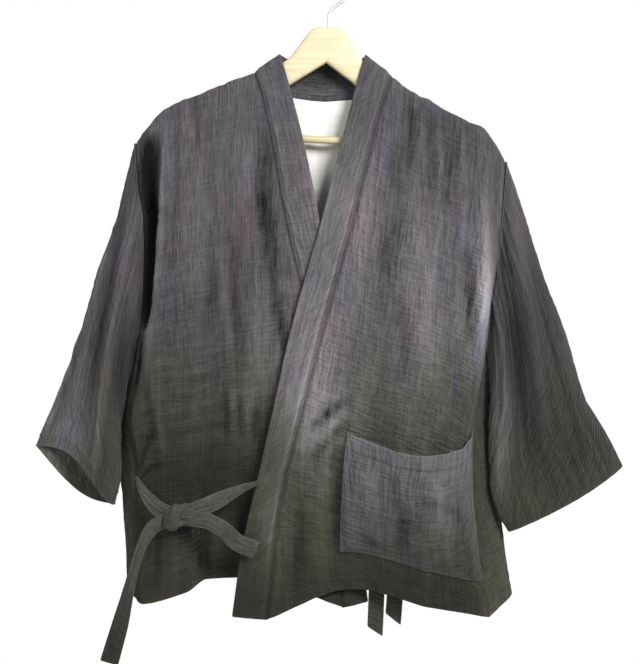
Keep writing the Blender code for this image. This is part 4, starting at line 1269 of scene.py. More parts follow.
@dataclass
class Stitches:
    """Runs of machine stitches that stand on the cloth."""

    name: str
    length: float = 2.5
    gap: float = 0.9
    radius: float = 0.28
    points: list[Array] = field(default_factory=list)
    faces: list[tuple[int, ...]] = field(default_factory=list)

    def run(self, path: Array, out: Array) -> None:
        """Adds a run of stitches.

        Args:
            path: Points on the cloth's outer face, mm.
            out: The way out of the cloth at each point.
        """
        steps = np.linalg.norm(np.diff(path, axis=0), axis=1)
        along = np.concatenate([[0], np.cumsum(steps)])
        pitch = self.length + self.gap
        starts = np.arange(pitch / 2, along[-1] - self.length, pitch)
        for start in starts:
            places = start + np.array([0, .2, .8, 1]) * self.length
            middle = np.stack([np.interp(places, along, path[:, k]) for k in range(3)], 1)
            up = unit(np.stack([np.interp(places, along, out[:, k]) for k in range(3)], 1))
            way = unit(middle[-1:] - middle[:1])
            side = unit(np.cross(way, up))
            lift = np.array([-.15, .25, .25, -.15])[:, None] * up
            width = np.array([.35, 1, 1, .35])[:, None] * self.radius
            base = 12 * len(self.points)
            ring = [middle + lift + side * width * 1.2, middle + lift + up * width,
                    middle + lift - side * width * 1.2]
            block = np.stack(ring, 1).reshape(-1, 3)
            self.points.append(block)
            for k in range(3):
                a = base + k * 3
                for one, two in ((0, 1), (1, 2), (2, 0)):
                    self.faces.append((a + one, a + two, a + 3 + two, a + 3 + one))
            self.faces.append((base + 2, base + 1, base))
            self.faces.append((base + 9, base + 10, base + 11))

    def along_row(self, sheet: Sheet, row: float, first: float = 0, last: float = 1) -> None:
        """Adds a run along a row of a sheet, between two shares of its width."""
        count = sheet.grid.shape[1]
        columns = np.linspace(first * (count - 1), last * (count - 1), 160)
        self.run(*sheet.at(np.full(160, row), columns))

    def along_edge(self, sheet: Sheet, inset: float, last: bool, first_row: int = 0,
                   last_row: int | None = None) -> None:
        """Adds a run beside the first or last column of a sheet, inset in mm."""
        rows = np.arange(first_row, last_row or sheet.grid.shape[0] - 1)
        away = sheet.to_last if last else sheet.to_first
        columns = []
        for r in rows:
            line = away[r][::-1] if last else away[r]
            place = float(np.interp(inset, line, np.arange(len(line))))
            columns.append(len(line) - 1 - place if last else place)
        self.run(*sheet.at(rows.astype(float), np.array(columns)))

    def build(self, finish: bpy.types.Material) -> bpy.types.Object:
        """Makes the stitches' object."""
        return mesh_object(self.name, np.concatenate(self.points) * MM, self.faces, finish)


@dataclass
class Jacket:
    """The body: two fronts, the back, the neckband, the lining and the sleeves."""

    wardrobe: Wardrobe
    hem: float = HEM
    band_steps: int = 18
    rows: Array = field(init=False)
    sheets: dict[str, Sheet] = field(default_factory=dict)

    def __post_init__(self) -> None:
        """Sets the rows of the cloth, close together where it rolls over the hanger."""
        keys = (*ROLL_ROWS, .03, .055, .10, .22, .29, .40, ARMPIT, .64, .75, .89, 1)
        self.rows = between(keys, MESH_STEP / 705)

    def line(self, line: Line, top: float, drops: Sequence[float] = LEVELS,
             turned: bool = True) -> Array:
        """Returns the points of a line of cloth from the shoulder to the hem."""
        x = pchip(LEVELS, line.x, self.rows)
        y = pchip(LEVELS, line.y, self.rows)
        z = top + (line.hem - top) * pchip(LEVELS, drops, self.rows)
        return np.stack([x, y * rolled(z, top) if turned else y, z], 1)

    def side_points(self, side: Side, back: bool) -> Array:
        """Returns the front or back edge of the body's side: an armhole, then the side seam."""
        line = SIDE_RIGHT if side is Side.RIGHT else SIDE_LEFT
        top = float(ridge_height(line.x[0])[0])
        points = self.line(line, top, SIDE_DROPS)
        closing = np.minimum(self.rows / ARMPIT, 1) ** 6
        if side is Side.RIGHT and not back:
            points[:, 1] += SUNK * smooth((self.rows - .10) / .14) * (1 - closing)
        if back:
            points[:, 1] = (points[:, 1] * closing
                            + BACK_HALF * rolled(points[:, 2], top) * (1 - closing))
        return points

    def settled(self, grid: Array, columns: Array | slice) -> None:
        """Puts the top row on the shoulder ridge and eases the rows under it to match."""
        top = grid[0, columns]
        rise = ridge_height(top[:, 0]) - top[:, 2]
        ease = np.clip(1 - self.rows / 0.25, 0, 1) ** 2
        grid[:, columns, 2] += ease[:, None] * rise[None, :]

    def front_grid(self, side: Side) -> Array:
        """Returns the middle surface of a front."""
        lines = FRONT_RIGHT if side is Side.RIGHT else FRONT_LEFT
        across = [0] + [line.across for line in lines]
        points = [self.side_points(side, False)]
        points += [self.line(line, float(ridge_height(line.x[0])[0])) for line in lines]
        grid = lofted(across, points, between((0, .04, .12, .4, .5, .7, 1), 1 / 92))
        self.settled(grid, slice(None))
        return grid

    def back_grid(self, places: Array) -> Array:
        """Returns the middle surface of the back."""
        across, points = [0.0], [self.side_points(Side.RIGHT, True)]
        for line in BACK:
            neck = NECKLINE.get(line.across)
            top = float(ridge_height(line.x[0])[0]) if neck is None else neck
            across.append(line.across)
            points.append(self.line(line, top, turned=neck is None))
        across.append(1.0)
        points.append(self.side_points(Side.LEFT, True))
        grid = lofted(across, points, places)
        self.settled(grid, places <= NECK[0])
        self.settled(grid, places >= NECK[1])
        return grid

    def sleeve_grid(self, side: Side) -> tuple[Array, int]:
        """Makes a sleeve: a tube from the armhole to the cuff.

        Args:
            side: Which sleeve.

        Returns:
            Its middle surface, and the column of the fold under the arm.
        """
        rings = SLEEVE_RIGHT if side is Side.RIGHT else SLEEVE_LEFT
        count = int(np.searchsorted(self.rows, ARMPIT)) + 1
        front = self.side_points(side, False)[:count]
        back = self.side_points(side, True)[:count]
        round_way = np.arange(count) / (count - 1)
        spaced = self.rows[:count] / ARMPIT
        places, loops = [0.0], [np.concatenate([front, back[-2:0:-1]])]
        for ring in rings:
            mix = min(1, ring.along / .6)
            w = (1 - mix) * spaced + mix * (0.25 * spaced + 0.75 * round_way)
            loops.append(self.ring_loop(ring, w))
            places.append(ring.along)
        steps = between((0, .2, .4, .6, .8, 1), 1 / 140)
        table = np.array(loops).reshape(len(loops), -1)
        return pchip(places, table, steps).reshape(len(steps), -1, 3), count - 1

    @staticmethod
    def ring_loop(ring: Ring, w: Array) -> Array:
        """Returns a loop of sleeve: w runs from the outer fold to the fold under the arm."""
        base = np.stack([ring.top_x + (ring.under_x - ring.top_x) * w, ring.under_y * w,
                         ring.top_z + (ring.under_z - ring.top_z) * w], 1)
        skew = w ** (math.log(0.5) / math.log(ring.crest))
        front, back = base.copy(), base.copy()
        front[:, 1] += ((ring.front - ring.under_y * ring.crest)
                        * np.sin(math.pi * skew).clip(0) ** 0.6)
        front[:, 2] += ring.lift * np.sin(math.pi * w)
        back[:, 1] += ring.back * np.sin(math.pi * w).clip(0) ** 0.6
        back[:, 2] -= ring.dip * np.sin(math.pi * w)
        return np.concatenate([front, back[-2:0:-1]])

    def fronts(self) -> None:
        """Builds the two fronts with their folds, seams and hems."""
        for side, folds, level in ((Side.RIGHT, FOLDS_FRONT_RIGHT, RIGHT_CROSSWISE),
                                   (Side.LEFT, FOLDS_FRONT_LEFT, LEFT_CROSSWISE)):
            word = side.name.lower()
            sheet = Sheet(f"front_{word}", self.front_grid(side), (0, -1, 0), upright=True,
                          tones=DYE_AND_PAINTED_LIGHT)
            crosswise = patch_share(sheet.grid, level)
            folded = fold_height(sheet.grid, folds) * FULLNESS
            sheet.height += folded
            sheet.shade = (1 + 0.05 * np.minimum(folded, 0)).clip(0.35, 1)
            sheet.crinkle(WARP, 1 - 0.55 * crosswise)
            sheet.crinkle(WEFT, 0.15 + 1.15 * crosswise)
            if side is Side.LEFT:
                sheet.crinkle((Crinkle(6.5, 60, 0.9, 31),),
                              patch_share(sheet.grid, (Patch(135, -215, 75, 60),)))
            near = np.minimum(sheet.to_first, sheet.to_last)
            sheet.seam(np.minimum(near, sheet.to_top + 1.5), 41 + side.value)
            sheet.shade = sheet.shade * (1 - 0.72 * np.exp(-(near / 2.3) ** 2))
            sheet.hem(sheet.to_bottom, self.hem, 43 + side.value)
            sheet.settle()
            self.sheets[sheet.name] = sheet
            cloth = sheet.build(self.wardrobe.cloth, Finish.CLOTH.value,
                                (f"front_{word}_upper", f"front_{word}_lower"))

    def back(self) -> None:
        """Builds the back and the white lining inside it."""
        places = between((0, .05, .2, .36, .37, .38, .42, .5, .58, .62, .63, .64, .8, .95, 1),
                         1 / 144)
        grid = self.back_grid(places)
        sheet = Sheet("back", grid, (0, 1, 0), upright=True, tones=BACK_PAINTED_SHADE)
        sheet.height += fold_height(grid, FOLDS_BACK) * FULLNESS
        sheet.crinkle(WARP)
        sheet.crinkle(WEFT, 0.25 + patch_share(grid, BACK_CROSSWISE))
        near = np.minimum(sheet.to_first, sheet.to_last)
        sheet.seam(np.minimum(near, sheet.to_top + 1.5), 51)
        sheet.hem(sheet.to_bottom, self.hem, 52)
        sheet.settle()
        lining = Sheet("back_lining", self.lining_grid(sheet.grid, sheet.facing, places),
                       (0, -1, 0), thick=LINING)
        self.sheets["back"] = sheet
        cloth = sheet.build(self.wardrobe.cloth, Finish.CLOTH.value,
                            tuple(f"back_{a}_{b}" for a in ("upper", "lower")
                                  for b in ("right", "left")))
        lining.crinkle((Crinkle(60, 8, 0.5, 61), Crinkle(110, 16, 0.7, 62)))
        lining.crinkle((Crinkle(14, 120, 0.35, 63),))
        lining.height += fold_height(lining.grid, FOLDS_LINING)
        lining.height = lining.height.clip(-1.2)
        lining.settle()
        self.sheets["back_lining"] = lining
        inside = lining.build(self.wardrobe.lining, Finish.LINING.value, ("back_lining",))

    def lining_grid(self, back: Array, facing: Array, places: Array) -> Array:
        """Returns the lining's surface, just inside the back's upper half."""
        off = (CLOTH + LINING) / 2 + 1.9
        rows = (self.rows >= .0155) & (self.rows <= ARMPIT)
        columns = (places >= .12) & (places <= .88)
        return (back - facing * off)[rows][:, columns]

    def neckband(self) -> None:
        """Builds the neckband: up the right front, round the neck and down the left front."""
        right, left = self.front_grid(Side.RIGHT), self.front_grid(Side.LEFT)
        places = between((.36, .37, .38, .42, .5, .58, .62, .63, .64), 1 / 200)
        round_neck = (places > NECK[0]) & (places < NECK[1])
        back = self.back_grid(places)
        seam = np.concatenate([right[::-1, -1], back[0, round_neck], left[:, -1]])
        free = np.concatenate([self.edge_points(BAND_RIGHT, self.rows)[::-1],
                               self.edge_points(BAND_BACK, places[round_neck]),
                               self.edge_points(BAND_LEFT, self.rows)])
        shares = np.linspace(0, 1, self.band_steps)
        grid = np.stack([seam + (free - seam) * out for out in shares], 1)
        sheet = Sheet("neckband", grid, (0, -1, 0), thick=BAND, bulge=1.6, tones=DYE_AND_PAINTED_LIGHT)
        crown = np.sin(math.pi * shares ** 0.8)[None, :]
        sheet.height += 0.9 * crown
        sheet.crinkle((Crinkle(9, 60, 0.40, 71), Crinkle(40, 9, 0.45, 72),
                       Crinkle(60, 22, 0.6, 73)))
        sheet.height *= smooth(sheet.to_first / 8) * (0.35 + 0.65 * smooth(sheet.to_last / 8))
        sheet.height -= 1.0 * (1 - smooth(sheet.to_first / SEAM_REACH))
        sheet.height -= 0.55 * np.exp(-((sheet.to_first - 4.5) / 1.2) ** 2)
        # Painted shade in the seam's groove and at the stitches, and a painted highlight on the
        # ridge beside them.
        sheet.shade = (1 - 0.72 * np.exp(-(sheet.to_first / 2.3) ** 2)
                       + 0.25 * np.exp(-((sheet.to_first - 7) / 3) ** 2)
                       - 0.25 * np.exp(-((sheet.to_first - 4.5) / 1.1) ** 2))
        sheet.settle()
        self.sheets["neckband"] = sheet
        cloth = sheet.build(self.wardrobe.cloth, Finish.CLOTH.value, ("neckband",))

    @staticmethod
    def edge_points(table: Sequence[Edge], places: Array) -> Array:
        """Returns points of the neckband's free edge."""
        return pchip([e.place for e in table], [(e.x, e.y, e.z) for e in table], places)

    def sleeves(self) -> None:
        """Builds the two sleeves with long folds hanging from the armholes."""
        for side, front_folds, back_folds in (
                (Side.RIGHT, FOLDS_SLEEVE_RIGHT, FOLDS_SLEEVE_RIGHT_BACK),
                (Side.LEFT, FOLDS_SLEEVE_LEFT, FOLDS_SLEEVE_LEFT_BACK)):
            word = side.name.lower()
            grid, under = self.sleeve_grid(side)
            sheet = Sheet(f"sleeve_{word}", grid, (side.value, 0, 0), closed=True,
                          tones=SLEEVE_DYE_AND_PAINTED_LIGHT)
            front = np.zeros(grid.shape[:2])
            front[:, :under + 1] = 1
            front = front * smooth(-sheet.facing[..., 1] * 2.5 + 0.2)
            behind = smooth(sheet.facing[..., 1] * 2.5 + 0.2)
            folded = fold_height(grid, front_folds) * front * FULLNESS
            sheet.height += folded + fold_height(grid, back_folds) * behind * FULLNESS
            fine = WARP[0]
            sheet.crinkle([c._replace(seed=c.seed + 3) for c in WARP])
            sheet.crinkle((Crinkle(90, fine.across, fine.height, fine.seed + 3),), 0.5)
            around = np.abs(sheet.chart[:, :grid.shape[1], 0] - sheet.chart[:, under:under + 1, 0])
            sheet.height -= 0.8 * np.exp(-(around / 2.2) ** 2)
            sheet.seam(sheet.to_top, 81 + side.value)
            depth = np.zeros(grid.shape[:2])
            for valley in VALLEYS[side]:
                run = (sheet.to_top - valley.away) / valley.reach
                depth += valley.deep * np.exp(-run ** 2)
            sheet.height -= depth * front * smooth(around / 30) * smooth(sheet.to_top / 8)
            sheet.shade = ((1 - 0.05 * depth * front + 0.04 * np.minimum(folded, 0))
                           * (1 - 0.5 * np.exp(-(sheet.to_top / 1.8) ** 2))).clip(0.3, 1)
            sheet.hem(sheet.to_bottom, self.hem, 83 + side.value)
            sheet.settle()
            self.sheets[sheet.name] = sheet
            cloth = sheet.build(self.wardrobe.cloth, Finish.CLOTH.value, (f"sleeve_{word}",))

    def pocket(self) -> None:
        """Builds the patch pocket, which droops at its mouth, on the left front."""
        front = self.sheets["front_left"]
        rows, columns = 110, 84
        d, a = np.meshgrid(np.linspace(0, 1, rows), np.linspace(0, 1, columns), indexing="ij")
        top, band = POCKET["top_side"], POCKET["top_band"]
        low, low_band = POCKET["low_side"], POCKET["low_band"]
        across = ((1 - d) * (top.across + (band.across - top.across) * a)
                  + d * (low.across + (low_band.across - low.across) * a))
        sag = (POCKET_SAG * np.sin(math.pi * a ** 1.4).clip(0) ** 0.9 * (1 - d) ** 1.5
               - 0.010 * (1 - d) * np.exp(-(a / 0.12) ** 2))
        down = ((1 - d) * (top.down + (band.down - top.down) * a)
                + d * (low.down + (low_band.down - low.down) * a)) + sag
        places = between((0, .04, .12, .4, .5, .7, 1), 1 / 92)
        row = np.interp(down.ravel(), self.rows, np.arange(len(self.rows)))
        column = np.interp(across.ravel(), places, np.arange(len(places)))
        point, way = front.at(row, column)
        stands = POCKET_STANDS * np.sin(math.pi * a).clip(0) ** 0.7 * (1 - d ** 1.6)
        edge = np.minimum(np.minimum(a, 1 - a) * 8, (1 - d) * 8).clip(0, 1)
        off = (CLOTH / 2 + 0.3 + 0.8 * edge.ravel() + stands.ravel())[:, None]
        grid = (point + way * off).reshape(rows, columns, 3)
        sheet = Sheet("pocket", grid, (0, -1, 0), upright=True, tones=DYE_AND_PAINTED_LIGHT)
        sheet.height += fold_height(grid, FOLDS_POCKET) * FULLNESS
        sheet.crinkle(WARP, 0.9)
        sheet.crinkle(WEFT, 0.5)
        sheet.height *= smooth(np.minimum(np.minimum(sheet.to_first, sheet.to_last),
                                          sheet.to_bottom) / FADE)
        sheet.hem(sheet.to_top, POCKET_HEM, 91)
        for away, inset in ((sheet.to_first, 2.0), (sheet.to_last, 2.0), (sheet.to_bottom, 2.0),
                            (sheet.to_first, 8.0)):
            sheet.height -= 0.45 * np.exp(-((away - inset) / 1.0) ** 2)
        sheet.settle()
        self.sheets["pocket"] = sheet
        cloth = sheet.build(self.wardrobe.pocket, Finish.CLOTH.value, ("pocket",))

    def stitches(self) -> None:
        """Sews the topstitching: hems, cuffs, neckband and pocket."""
        s = self.sheets
        hems = Stitches("hem_stitches")
        for name in ("front_right", "front_left", "back"):
            sheet = s[name]
            away = sheet.to_bottom.mean(1)
            hems.along_row(sheet, row_at(-away, -self.hem), .01, .99)
        hems.build(self.wardrobe.thread)
        cuffs = Stitches("cuff_stitches")
        for name in ("sleeve_right", "sleeve_left"):
            sheet = s[name]
            away = sheet.to_bottom.mean(1)
            cuffs.along_row(sheet, row_at(-away, -self.hem))
        cuffs.build(self.wardrobe.thread)
        band = Stitches("neckband_stitches")
        band.along_edge(s["neckband"], 4.5, last=False, first_row=2)
        band.build(self.wardrobe.thread)
        pocket = Stitches("pocket_stitches")
        for inset in (2.0, 8.0):
            pocket.along_edge(s["pocket"], inset, last=False)
        pocket.along_edge(s["pocket"], 2.0, last=True)
        sheet = s["pocket"]
        depth = sheet.to_top.mean(1)
        pocket.along_row(sheet, row_at(depth, POCKET_HEM), .02, .98)
        low = sheet.to_bottom.mean(1)
        pocket.along_row(sheet, row_at(-low, -2.0), .02, .98)
        pocket.build(self.wardrobe.thread)


# ---------------------------------------------------------------- ties
@dataclass
class Ties:
    """The outer pair tied at the right side, and the inner pair tied inside the left side."""

    wardrobe: Wardrobe
    steps: int = 90
    columns: int = 15

    def frame(self, steps: Sequence[Step], count: int) -> tuple[Array, Array, Array, Array]:
        """Reads a strap's path.

        Args:
            steps: Its points.
            count: How many places to read.

        Returns:
            Middles, the way across, the way out, and widths in mm.
        """
        table = np.array([tuple(s) for s in steps], float)
        length = np.linalg.norm(np.diff(table[:, :3], axis=0), axis=1)
        along = np.concatenate([[0], np.cumsum(length)]) / length.sum()
        path = pchip(along, table, np.linspace(0, 1, count))
        tangent = unit(np.gradient(path[:, :3], axis=0))
        wide = unit(np.cross(tangent, (0, -1, 0)))
        facing = np.cross(wide, tangent)
        twist = np.radians(path[:, 3])[:, None]
        wide, facing = (wide * np.cos(twist) + facing * np.sin(twist),
                        facing * np.cos(twist) - wide * np.sin(twist))
        return path[:, :3], wide, facing, path[:, 4] * STRAP_WIDTH

    def strap(self, name: str, steps: Sequence[Step], gathers: float,
              seed: int, point: bool = False) -> Sheet:
        """Builds a flat strap.

        Args:
            name: Its name.
            steps: Its points, the first one nearest the knot or the seam.
            gathers: Height of the pleats where it is squeezed, mm.
            seed: Which crinkles.
            point: Whether its end is folded to a slant.

        Returns:
            The strap's cloth.
        """
        middle, wide, facing, width = self.frame(steps, self.steps)
        shares = np.linspace(-.5, .5, self.columns)
        grid = middle[:, None] + wide[:, None] * (width[:, None, None] * shares[None, :, None])
        if point:
            slant = np.linspace(0, 1, self.steps)[:, None] ** 14 * (shares[None, :] + .5) * 13
            tangent = unit(np.gradient(middle, axis=0))
            grid = grid - tangent[:, None] * slant[:, :, None]
        outward = facing.mean(0)
        sheet = Sheet(name, grid, tuple(outward), thick=STRAP, bulge=1.1,
                      tones=TIE_PAINTED_LIGHT_AND_SHADE)
        squeezed = (1 - width / STRAP_WIDTH).clip(0, 1)[:, None]
        pleats = np.sin(shares[None, :] * 19 + 1.2 * value_noise(
            np.linspace(0, 4, self.steps)[:, None], np.zeros((1, self.columns)), seed))
        sheet.height += gathers * squeezed * pleats
        sheet.height += 1.1 * squeezed * np.cos(math.pi * shares)[None, :] * 2
        sheet.crinkle((Crinkle(5, 30, 0.22, seed), Crinkle(22, 6, 0.25, seed + 1),
                       Crinkle(60, 24, 0.5, seed + 2)))
        edge = np.minimum(sheet.to_first, sheet.to_last)
        sheet.height -= 0.45 * np.exp(-((edge - 2.4) / 0.9) ** 2)
        sheet.settle()
        cloth = sheet.build(self.wardrobe.tie, Finish.CLOTH.value, (name,))
        return sheet

    def wrap(self, centre: Vector, axis: Vector, radii: tuple[float, float], turn: float,
             width: float, spread: float, seed: int) -> tuple[Array, Array]:
        """Returns a band of strap that goes round a knot.

        Args:
            centre: Its middle, mm.
            axis: The line that it goes round.
            radii: How far its face stands from the axis, across and in depth.
            turn: Where it starts round the axis, in radians.
            width: Its width, mm.
            spread: How far it drifts along the axis in one turn, mm.
            seed: Which crinkles.

        Returns:
            Points [around, across, xyz] and the way out at each.
        """
        count, across = 72, 13
        t = np.linspace(0, 2 * math.pi, count, endpoint=False) + turn
        way = np.array(axis.normalized())
        depth = np.array((0.0, -1.0, 0.0))
        depth = unit(depth - way * (depth @ way))
        aside = np.cross(way, depth)
        out = (aside[None] * (np.cos(t) * radii[0])[:, None]
               + depth[None] * (np.sin(t) * radii[1])[:, None])
        shares = np.linspace(-.5, .5, across)
        crown = 1 - 0.42 * (np.abs(shares) * 2) ** 3
        dents = 1 + 0.05 * value_noise(t[:, None] * 2.2, shares[None, :] * 7 + 0 * t[:, None], seed)
        dents += 0.035 * np.sin(shares[None, :] * 24 + 2 * np.sin(t)[:, None])
        drift = spread * np.sin(t / 2 + 0.4)
        points = (np.array(centre) + out[:, None] * (crown[None, :] * dents)[:, :, None]
                  + way * (shares[None, :] * width * (1 + 0.12 * np.sin(t * 2))[:, None]
                           + drift[:, None])[:, :, None])
        return points, unit(out)[:, None].repeat(across, 1)

    def knot(self, name: str, centre: Vector, size: float, lean: float) -> None:
        """Builds a flat knot from two turns of strap round a core.

        Args:
            name: The node that it stands for.
            centre: Its middle, mm.
            size: Its half-length, mm.
            lean: Its slope in the XZ plane, in radians.
        """
        along = Vector((math.cos(lean), 0, -math.sin(lean)))
        slant = Vector((math.cos(lean + 0.62), 0, -math.sin(lean + 0.62)))
        upright = Vector((math.cos(lean - 1.05), -0.25, -math.sin(lean - 1.05)))
        turns = (
            self.wrap(centre, along, (size * .60, size * .40), 0.3, size * 1.75, 0, 3),
            self.wrap(centre + along * (-size * .22) + Vector((0, -1.5, 0)), slant,
                      (size * .74, size * .50), 0.9, size * .86, size * .05, 5),
            self.wrap(centre + along * (size * .42) + Vector((0, -1.0, size * .06)), upright,
                      (size * .52, size * .52), 0.2, size * .58, 0, 7),
        )
        vertices: list[Array] = []
        faces: list[tuple[int, ...]] = []
        relief: list[Array] = []
        uvs: list[tuple[float, float]] = []
        start = 0
        for points, out in turns:
            around, across = points.shape[:2]
            wall = 1.1
            outer, inner = points, points - out * 2 * wall
            vertices += [outer.reshape(-1, 3), inner.reshape(-1, 3)]
            # The inner walls get a relief of -1, which the finish paints as shade.
            relief += [np.zeros(outer.size // 3), np.full(inner.size // 3, -1.0)]
            step = around * across
            for i in range(around):
                ahead = (i + 1) % around
                for j in range(across - 1):
                    a, b = i * across + j, ahead * across + j
                    faces.append((start + a, start + b, start + b + 1, start + a + 1))
                    faces.append((start + step + a, start + step + a + 1,
                                  start + step + b + 1, start + step + b))
                    for quad in (((i, j), (i + 1, j), (i + 1, j + 1), (i, j + 1)),
                                 ((i, j), (i, j + 1), (i + 1, j + 1), (i + 1, j))):
                        uvs += [(p[1] * 1.8 * MM, p[0] * 1.9 * MM) for p in quad]
                for j, flip in ((0, True), (across - 1, False)):
                    a, b = i * across + j, ahead * across + j
                    quad = (start + a, start + b, start + step + b, start + step + a)
                    faces.append(quad[::-1] if flip else quad)
                    uvs += [(j * 1.8 * MM, i * 1.9 * MM)] * 4
            start += 2 * step
        obj = mesh_object(f"{name}_cloth", np.concatenate(vertices) * MM, faces, self.wardrobe.tie,
                          (name,), uv=np.array(uvs),
                          values={"relief": np.concatenate(relief),
                                  "wear": np.zeros(start), "tone": np.ones(start)})

    def build(self) -> None:
        """Builds both pairs."""
        straps = (
            ("outer_tie_arm_front", OUTER_ARM_FRONT, 0.105, 1.0, 101, False),
            ("outer_tie_arm_side", OUTER_ARM_SIDE, 0.075, 1.0, 104, False),
            ("outer_tie_end_down", OUTER_END_DOWN, 0.225, 0.8, 107, False),
            ("outer_tie_end_across", OUTER_END_ACROSS, 0.110, 0.8, 110, False),
            ("inner_tie_arm_front", INNER_ARM_FRONT, 0.055, 1.0, 113, False),
            ("inner_tie_arm_side", INNER_ARM_SIDE, 0.105, 1.0, 116, False),
            ("inner_tie_end_band", INNER_END_BAND, 0.195, 0.6, 119, True),
            ("inner_tie_end_side", INNER_END_SIDE, 0.180, 0.6, 122, True),
        )
        sewn = Stitches("tie_stitches")
        for name, steps, length, gathers, seed, point in straps:
            sheet = self.strap(name, steps, gathers, seed, point)
            if "end" in name:
                for last in (False, True):
                    sewn.along_edge(sheet, 2.4, last=last, first_row=14, last_row=self.steps - 4)
        sewn.build(self.wardrobe.thread)
        self.knot("outer_knot", Vector((-204, -75, -747)), 24, math.radians(-22))
        self.knot("inner_knot", Vector((83, -10, -728)), 15, 0.0)


# ---------------------------------------------------------------- hanger
@dataclass
class Hanger:
    """A wooden hanger with a trouser bar and a wire hook, tilted a little about the hook's seat."""

    wardrobe: Wardrobe
    bar_height: float = -234.0
    bar_half: float = 196.0
    bar_radius: float = 5.3
    wire_radius: float = 1.7
    hook_radius: float = 24.0
    stem_top: float = -56.0
    stem_foot: float = -98.0

    def tilted(self, points: Array) -> Array:
        """Returns points turned about the hook's seat."""
        c, s = math.cos(HANGER_TILT), math.sin(HANGER_TILT)
        x, y, z = points[..., 0], points[..., 1], points[..., 2]
        return np.stack([c * x + s * z, y, c * z - s * x], -1)

    def body(self) -> None:
        """Builds the wood: its outline swept with a softly rounded section."""
        spans = [s.x for s in HANGER]
        x = between((*[-v for v in reversed(spans[1:])], *spans), 2.4)
        top = pchip(spans, [s.top for s in HANGER], np.abs(x))
        low = pchip(spans, [s.bottom for s in HANGER], np.abs(x))
        turns = np.linspace(0, 2 * math.pi, 44, endpoint=False)
        c, s = np.cos(turns), np.sin(turns)
        power = 2 / 4.2
        wide = np.sign(c) * np.abs(c) ** power * HANGER_THICK / 2
        high = np.sign(s) * np.abs(s) ** power
        middle, half = (top + low) / 2, (top - low) / 2
        ends = np.minimum(1, (219.001 - np.abs(x)) / 6).clip(0.05, 1) ** 0.5
        rings = np.stack([np.broadcast_to(x[:, None], (len(x), 44)),
                          wide[None, :] * ends[:, None],
                          middle[:, None] + high[None, :] * (half * (0.5 + 0.5 * ends))[:, None]], 2)
        points = self.tilted(rings).reshape(-1, 3)
        faces = [(k * 44 + j, k * 44 + (j + 1) % 44, (k + 1) * 44 + (j + 1) % 44, (k + 1) * 44 + j)
                 for k in range(len(x) - 1) for j in range(44)]
        faces += [tuple(range(43, -1, -1)), tuple(range((len(x) - 1) * 44, len(x) * 44))]
        faces = [face[::-1] for face in faces]
        mesh_object("hanger_wood", points * MM, faces, self.wardrobe.wood,
                    ("hanger_body",))

    def rod(self, name: str, path: Array, radius: float, finish: bpy.types.Material,
            node: str) -> None:
        """Builds a round rod along a path in the plane of the hanger.

        Args:
            name: Its name.
            path: Points of its middle, as x and z in mm.
            radius: Its radius, mm.
            finish: Its material.
            node: The node that it stands for.
        """
        sides = 32
        points = np.stack([path[:, 0], np.zeros(len(path)), path[:, 1]], 1)
        way = unit(np.gradient(points, axis=0))
        aside = unit(np.cross(way, (0, 1, 0)))
        turns = np.linspace(0, 2 * math.pi, sides, endpoint=False)
        rings = (points[:, None] + radius * (np.cos(turns)[None, :, None] * aside[:, None]
                                             + np.sin(turns)[None, :, None] * np.array((0, 1, 0))))
        shrink = np.ones(len(path))
        shrink[[0, -1]] = 0.72
        rings = points[:, None] + (rings - points[:, None]) * shrink[:, None, None]
        flat = self.tilted(rings).reshape(-1, 3)
        faces = [(k * sides + j, k * sides + (j + 1) % sides, (k + 1) * sides + (j + 1) % sides,
                  (k + 1) * sides + j) for k in range(len(path) - 1) for j in range(sides)]
        faces += [tuple(range(sides - 1, -1, -1)),
                  tuple(range((len(path) - 1) * sides, len(path) * sides))]
        mesh_object(name, flat * MM, faces, finish, (node,))

    def build(self) -> None:
        """Builds the wood, the bar and the hook."""
        self.body()
        x = np.concatenate([[-self.bar_half, -self.bar_half + .8],
                            np.linspace(-self.bar_half + 4, self.bar_half - 4, 60),
                            [self.bar_half - .8, self.bar_half]])
        bar = np.stack([x, np.full(len(x), self.bar_height)], 1)
        self.rod("trouser_bar", bar, self.bar_radius, self.wardrobe.wood, "hanger_bar")
        centre = self.wire_radius - self.hook_radius
        stem = [(0, z) for z in np.linspace(self.stem_foot, self.stem_top - 3, 12)]
        turns = np.radians(np.linspace(-45, 205, 90))
        bend = [(self.hook_radius * math.cos(t), centre + self.hook_radius * math.sin(t))
                for t in turns]
        keys = np.array([*stem, (1.2, self.stem_top + 0.6), *bend])
        steps = np.concatenate([[0], np.cumsum(np.linalg.norm(np.diff(keys, axis=0), axis=1))])
        path = pchip(steps, keys, np.linspace(0, steps[-1], 190))
        self.rod("wire_hook", path, self.wire_radius, self.wardrobe.wire,
                 "hanger_hook")


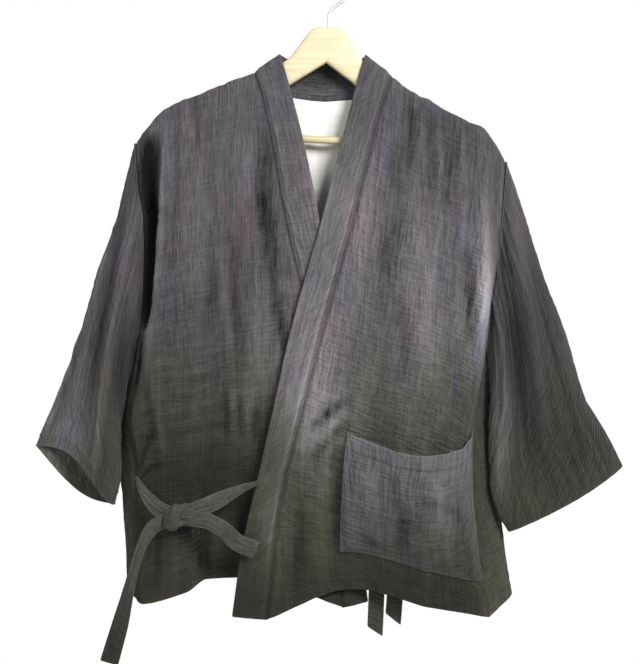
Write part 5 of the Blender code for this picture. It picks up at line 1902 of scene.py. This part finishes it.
# ---------------------------------------------------------------- studio
@dataclass
class Studio:
    """Camera, soft lights, white surround and a plain pale floor."""

    wardrobe: Wardrobe
    camera_place: tuple[float, float, float] = (-0.0154, -1.45, -0.5026)
    lens: float = 56.15
    floor_height: float = -1.5
    floor_radius: float = 1.5
    surround: float = 0.22

    def area_light(self, name: str, place: tuple[float, float, float],
                   aim: tuple[float, float, float], size: tuple[float, float],
                   power: float, colour: Colour = (1, 1, 1)) -> None:
        """Adds a soft rectangular light.

        Args:
            name: Its name.
            place: Its place in metres.
            aim: What it points at.
            size: Its width and height in metres.
            power: Its power in watts.
            colour: Its colour.
        """
        lamp = bpy.data.lights.new(name, "AREA")
        lamp.shape = "RECTANGLE"
        lamp.size, lamp.size_y = size
        lamp.energy = power
        lamp.color = colour
        obj = bpy.data.objects.new(name, lamp)
        obj.location = place
        obj.rotation_euler = (Vector(aim) - Vector(place)).to_track_quat("-Z", "Y").to_euler()
        bpy.context.scene.collection.objects.link(obj)

    def build(self) -> None:
        """Builds the studio."""
        scene = bpy.context.scene
        camera = bpy.data.cameras.new("camera")
        camera.lens = self.lens
        camera.sensor_width = 36.0
        eye = bpy.data.objects.new("camera", camera)
        eye.location = self.camera_place
        eye.rotation_euler = (math.pi / 2, 0, 0)
        scene.collection.objects.link(eye)
        scene.camera = eye

        self.area_light("key_light", (1.05, -1.65, 0.45), (0, 0, -0.48), (0.9, 0.7), 62)
        self.area_light("fill_light", (-1.4, -1.6, 0.1), (-0.1, 0, -0.5), (1.2, 1.2), 13)
        self.area_light("rear_light", (0.3, 1.9, 0.7), (0, 0, -0.5), (1.6, 1.2), 40)

        world = bpy.data.worlds.new("surround")
        world.use_nodes = True
        nodes, links = world.node_tree.nodes, world.node_tree.links
        glow = nodes["Background"]
        glow.inputs["Color"].default_value = (1, 1, 1, 1)
        glow.inputs["Strength"].default_value = self.surround
        seen = nodes.new("ShaderNodeBackground")
        seen.inputs["Color"].default_value = (1, 1, 1, 1)
        seen.inputs["Strength"].default_value = 1.0
        path = nodes.new("ShaderNodeLightPath")
        both = nodes.new("ShaderNodeMixShader")
        links.new(path.outputs["Is Camera Ray"], both.inputs[0])
        links.new(glow.outputs[0], both.inputs[1])
        links.new(seen.outputs[0], both.inputs[2])
        links.new(both.outputs[0], nodes["World Output"].inputs["Surface"])
        scene.world = world
        scene.view_settings.view_transform = "Standard"

        turns = np.linspace(0, 2 * math.pi, 96, endpoint=False)
        ring = np.stack([np.cos(turns) * self.floor_radius, np.sin(turns) * self.floor_radius,
                         np.full(96, self.floor_height)], 1)
        mesh = bpy.data.meshes.new("floor")
        mesh.from_pydata(ring.tolist(), [], [tuple(range(96))])
        mesh.materials.append(self.wardrobe.floor)
        floor = bpy.data.objects.new("floor", mesh)
        scene.collection.objects.link(floor)


def main() -> None:
    """Builds every sub-assembly around the frame, in order."""
    logging.basicConfig(level=logging.INFO, format="%(name)s: %(message)s")
    wardrobe = Wardrobe.made()
    Studio(wardrobe).build()
    Hanger(wardrobe).build()
    jacket = Jacket(wardrobe)
    jacket.fronts()
    jacket.back()
    jacket.neckband()
    jacket.sleeves()
    jacket.pocket()
    jacket.stitches()
    Ties(wardrobe).build()


if __name__ == "__main__":
    main()
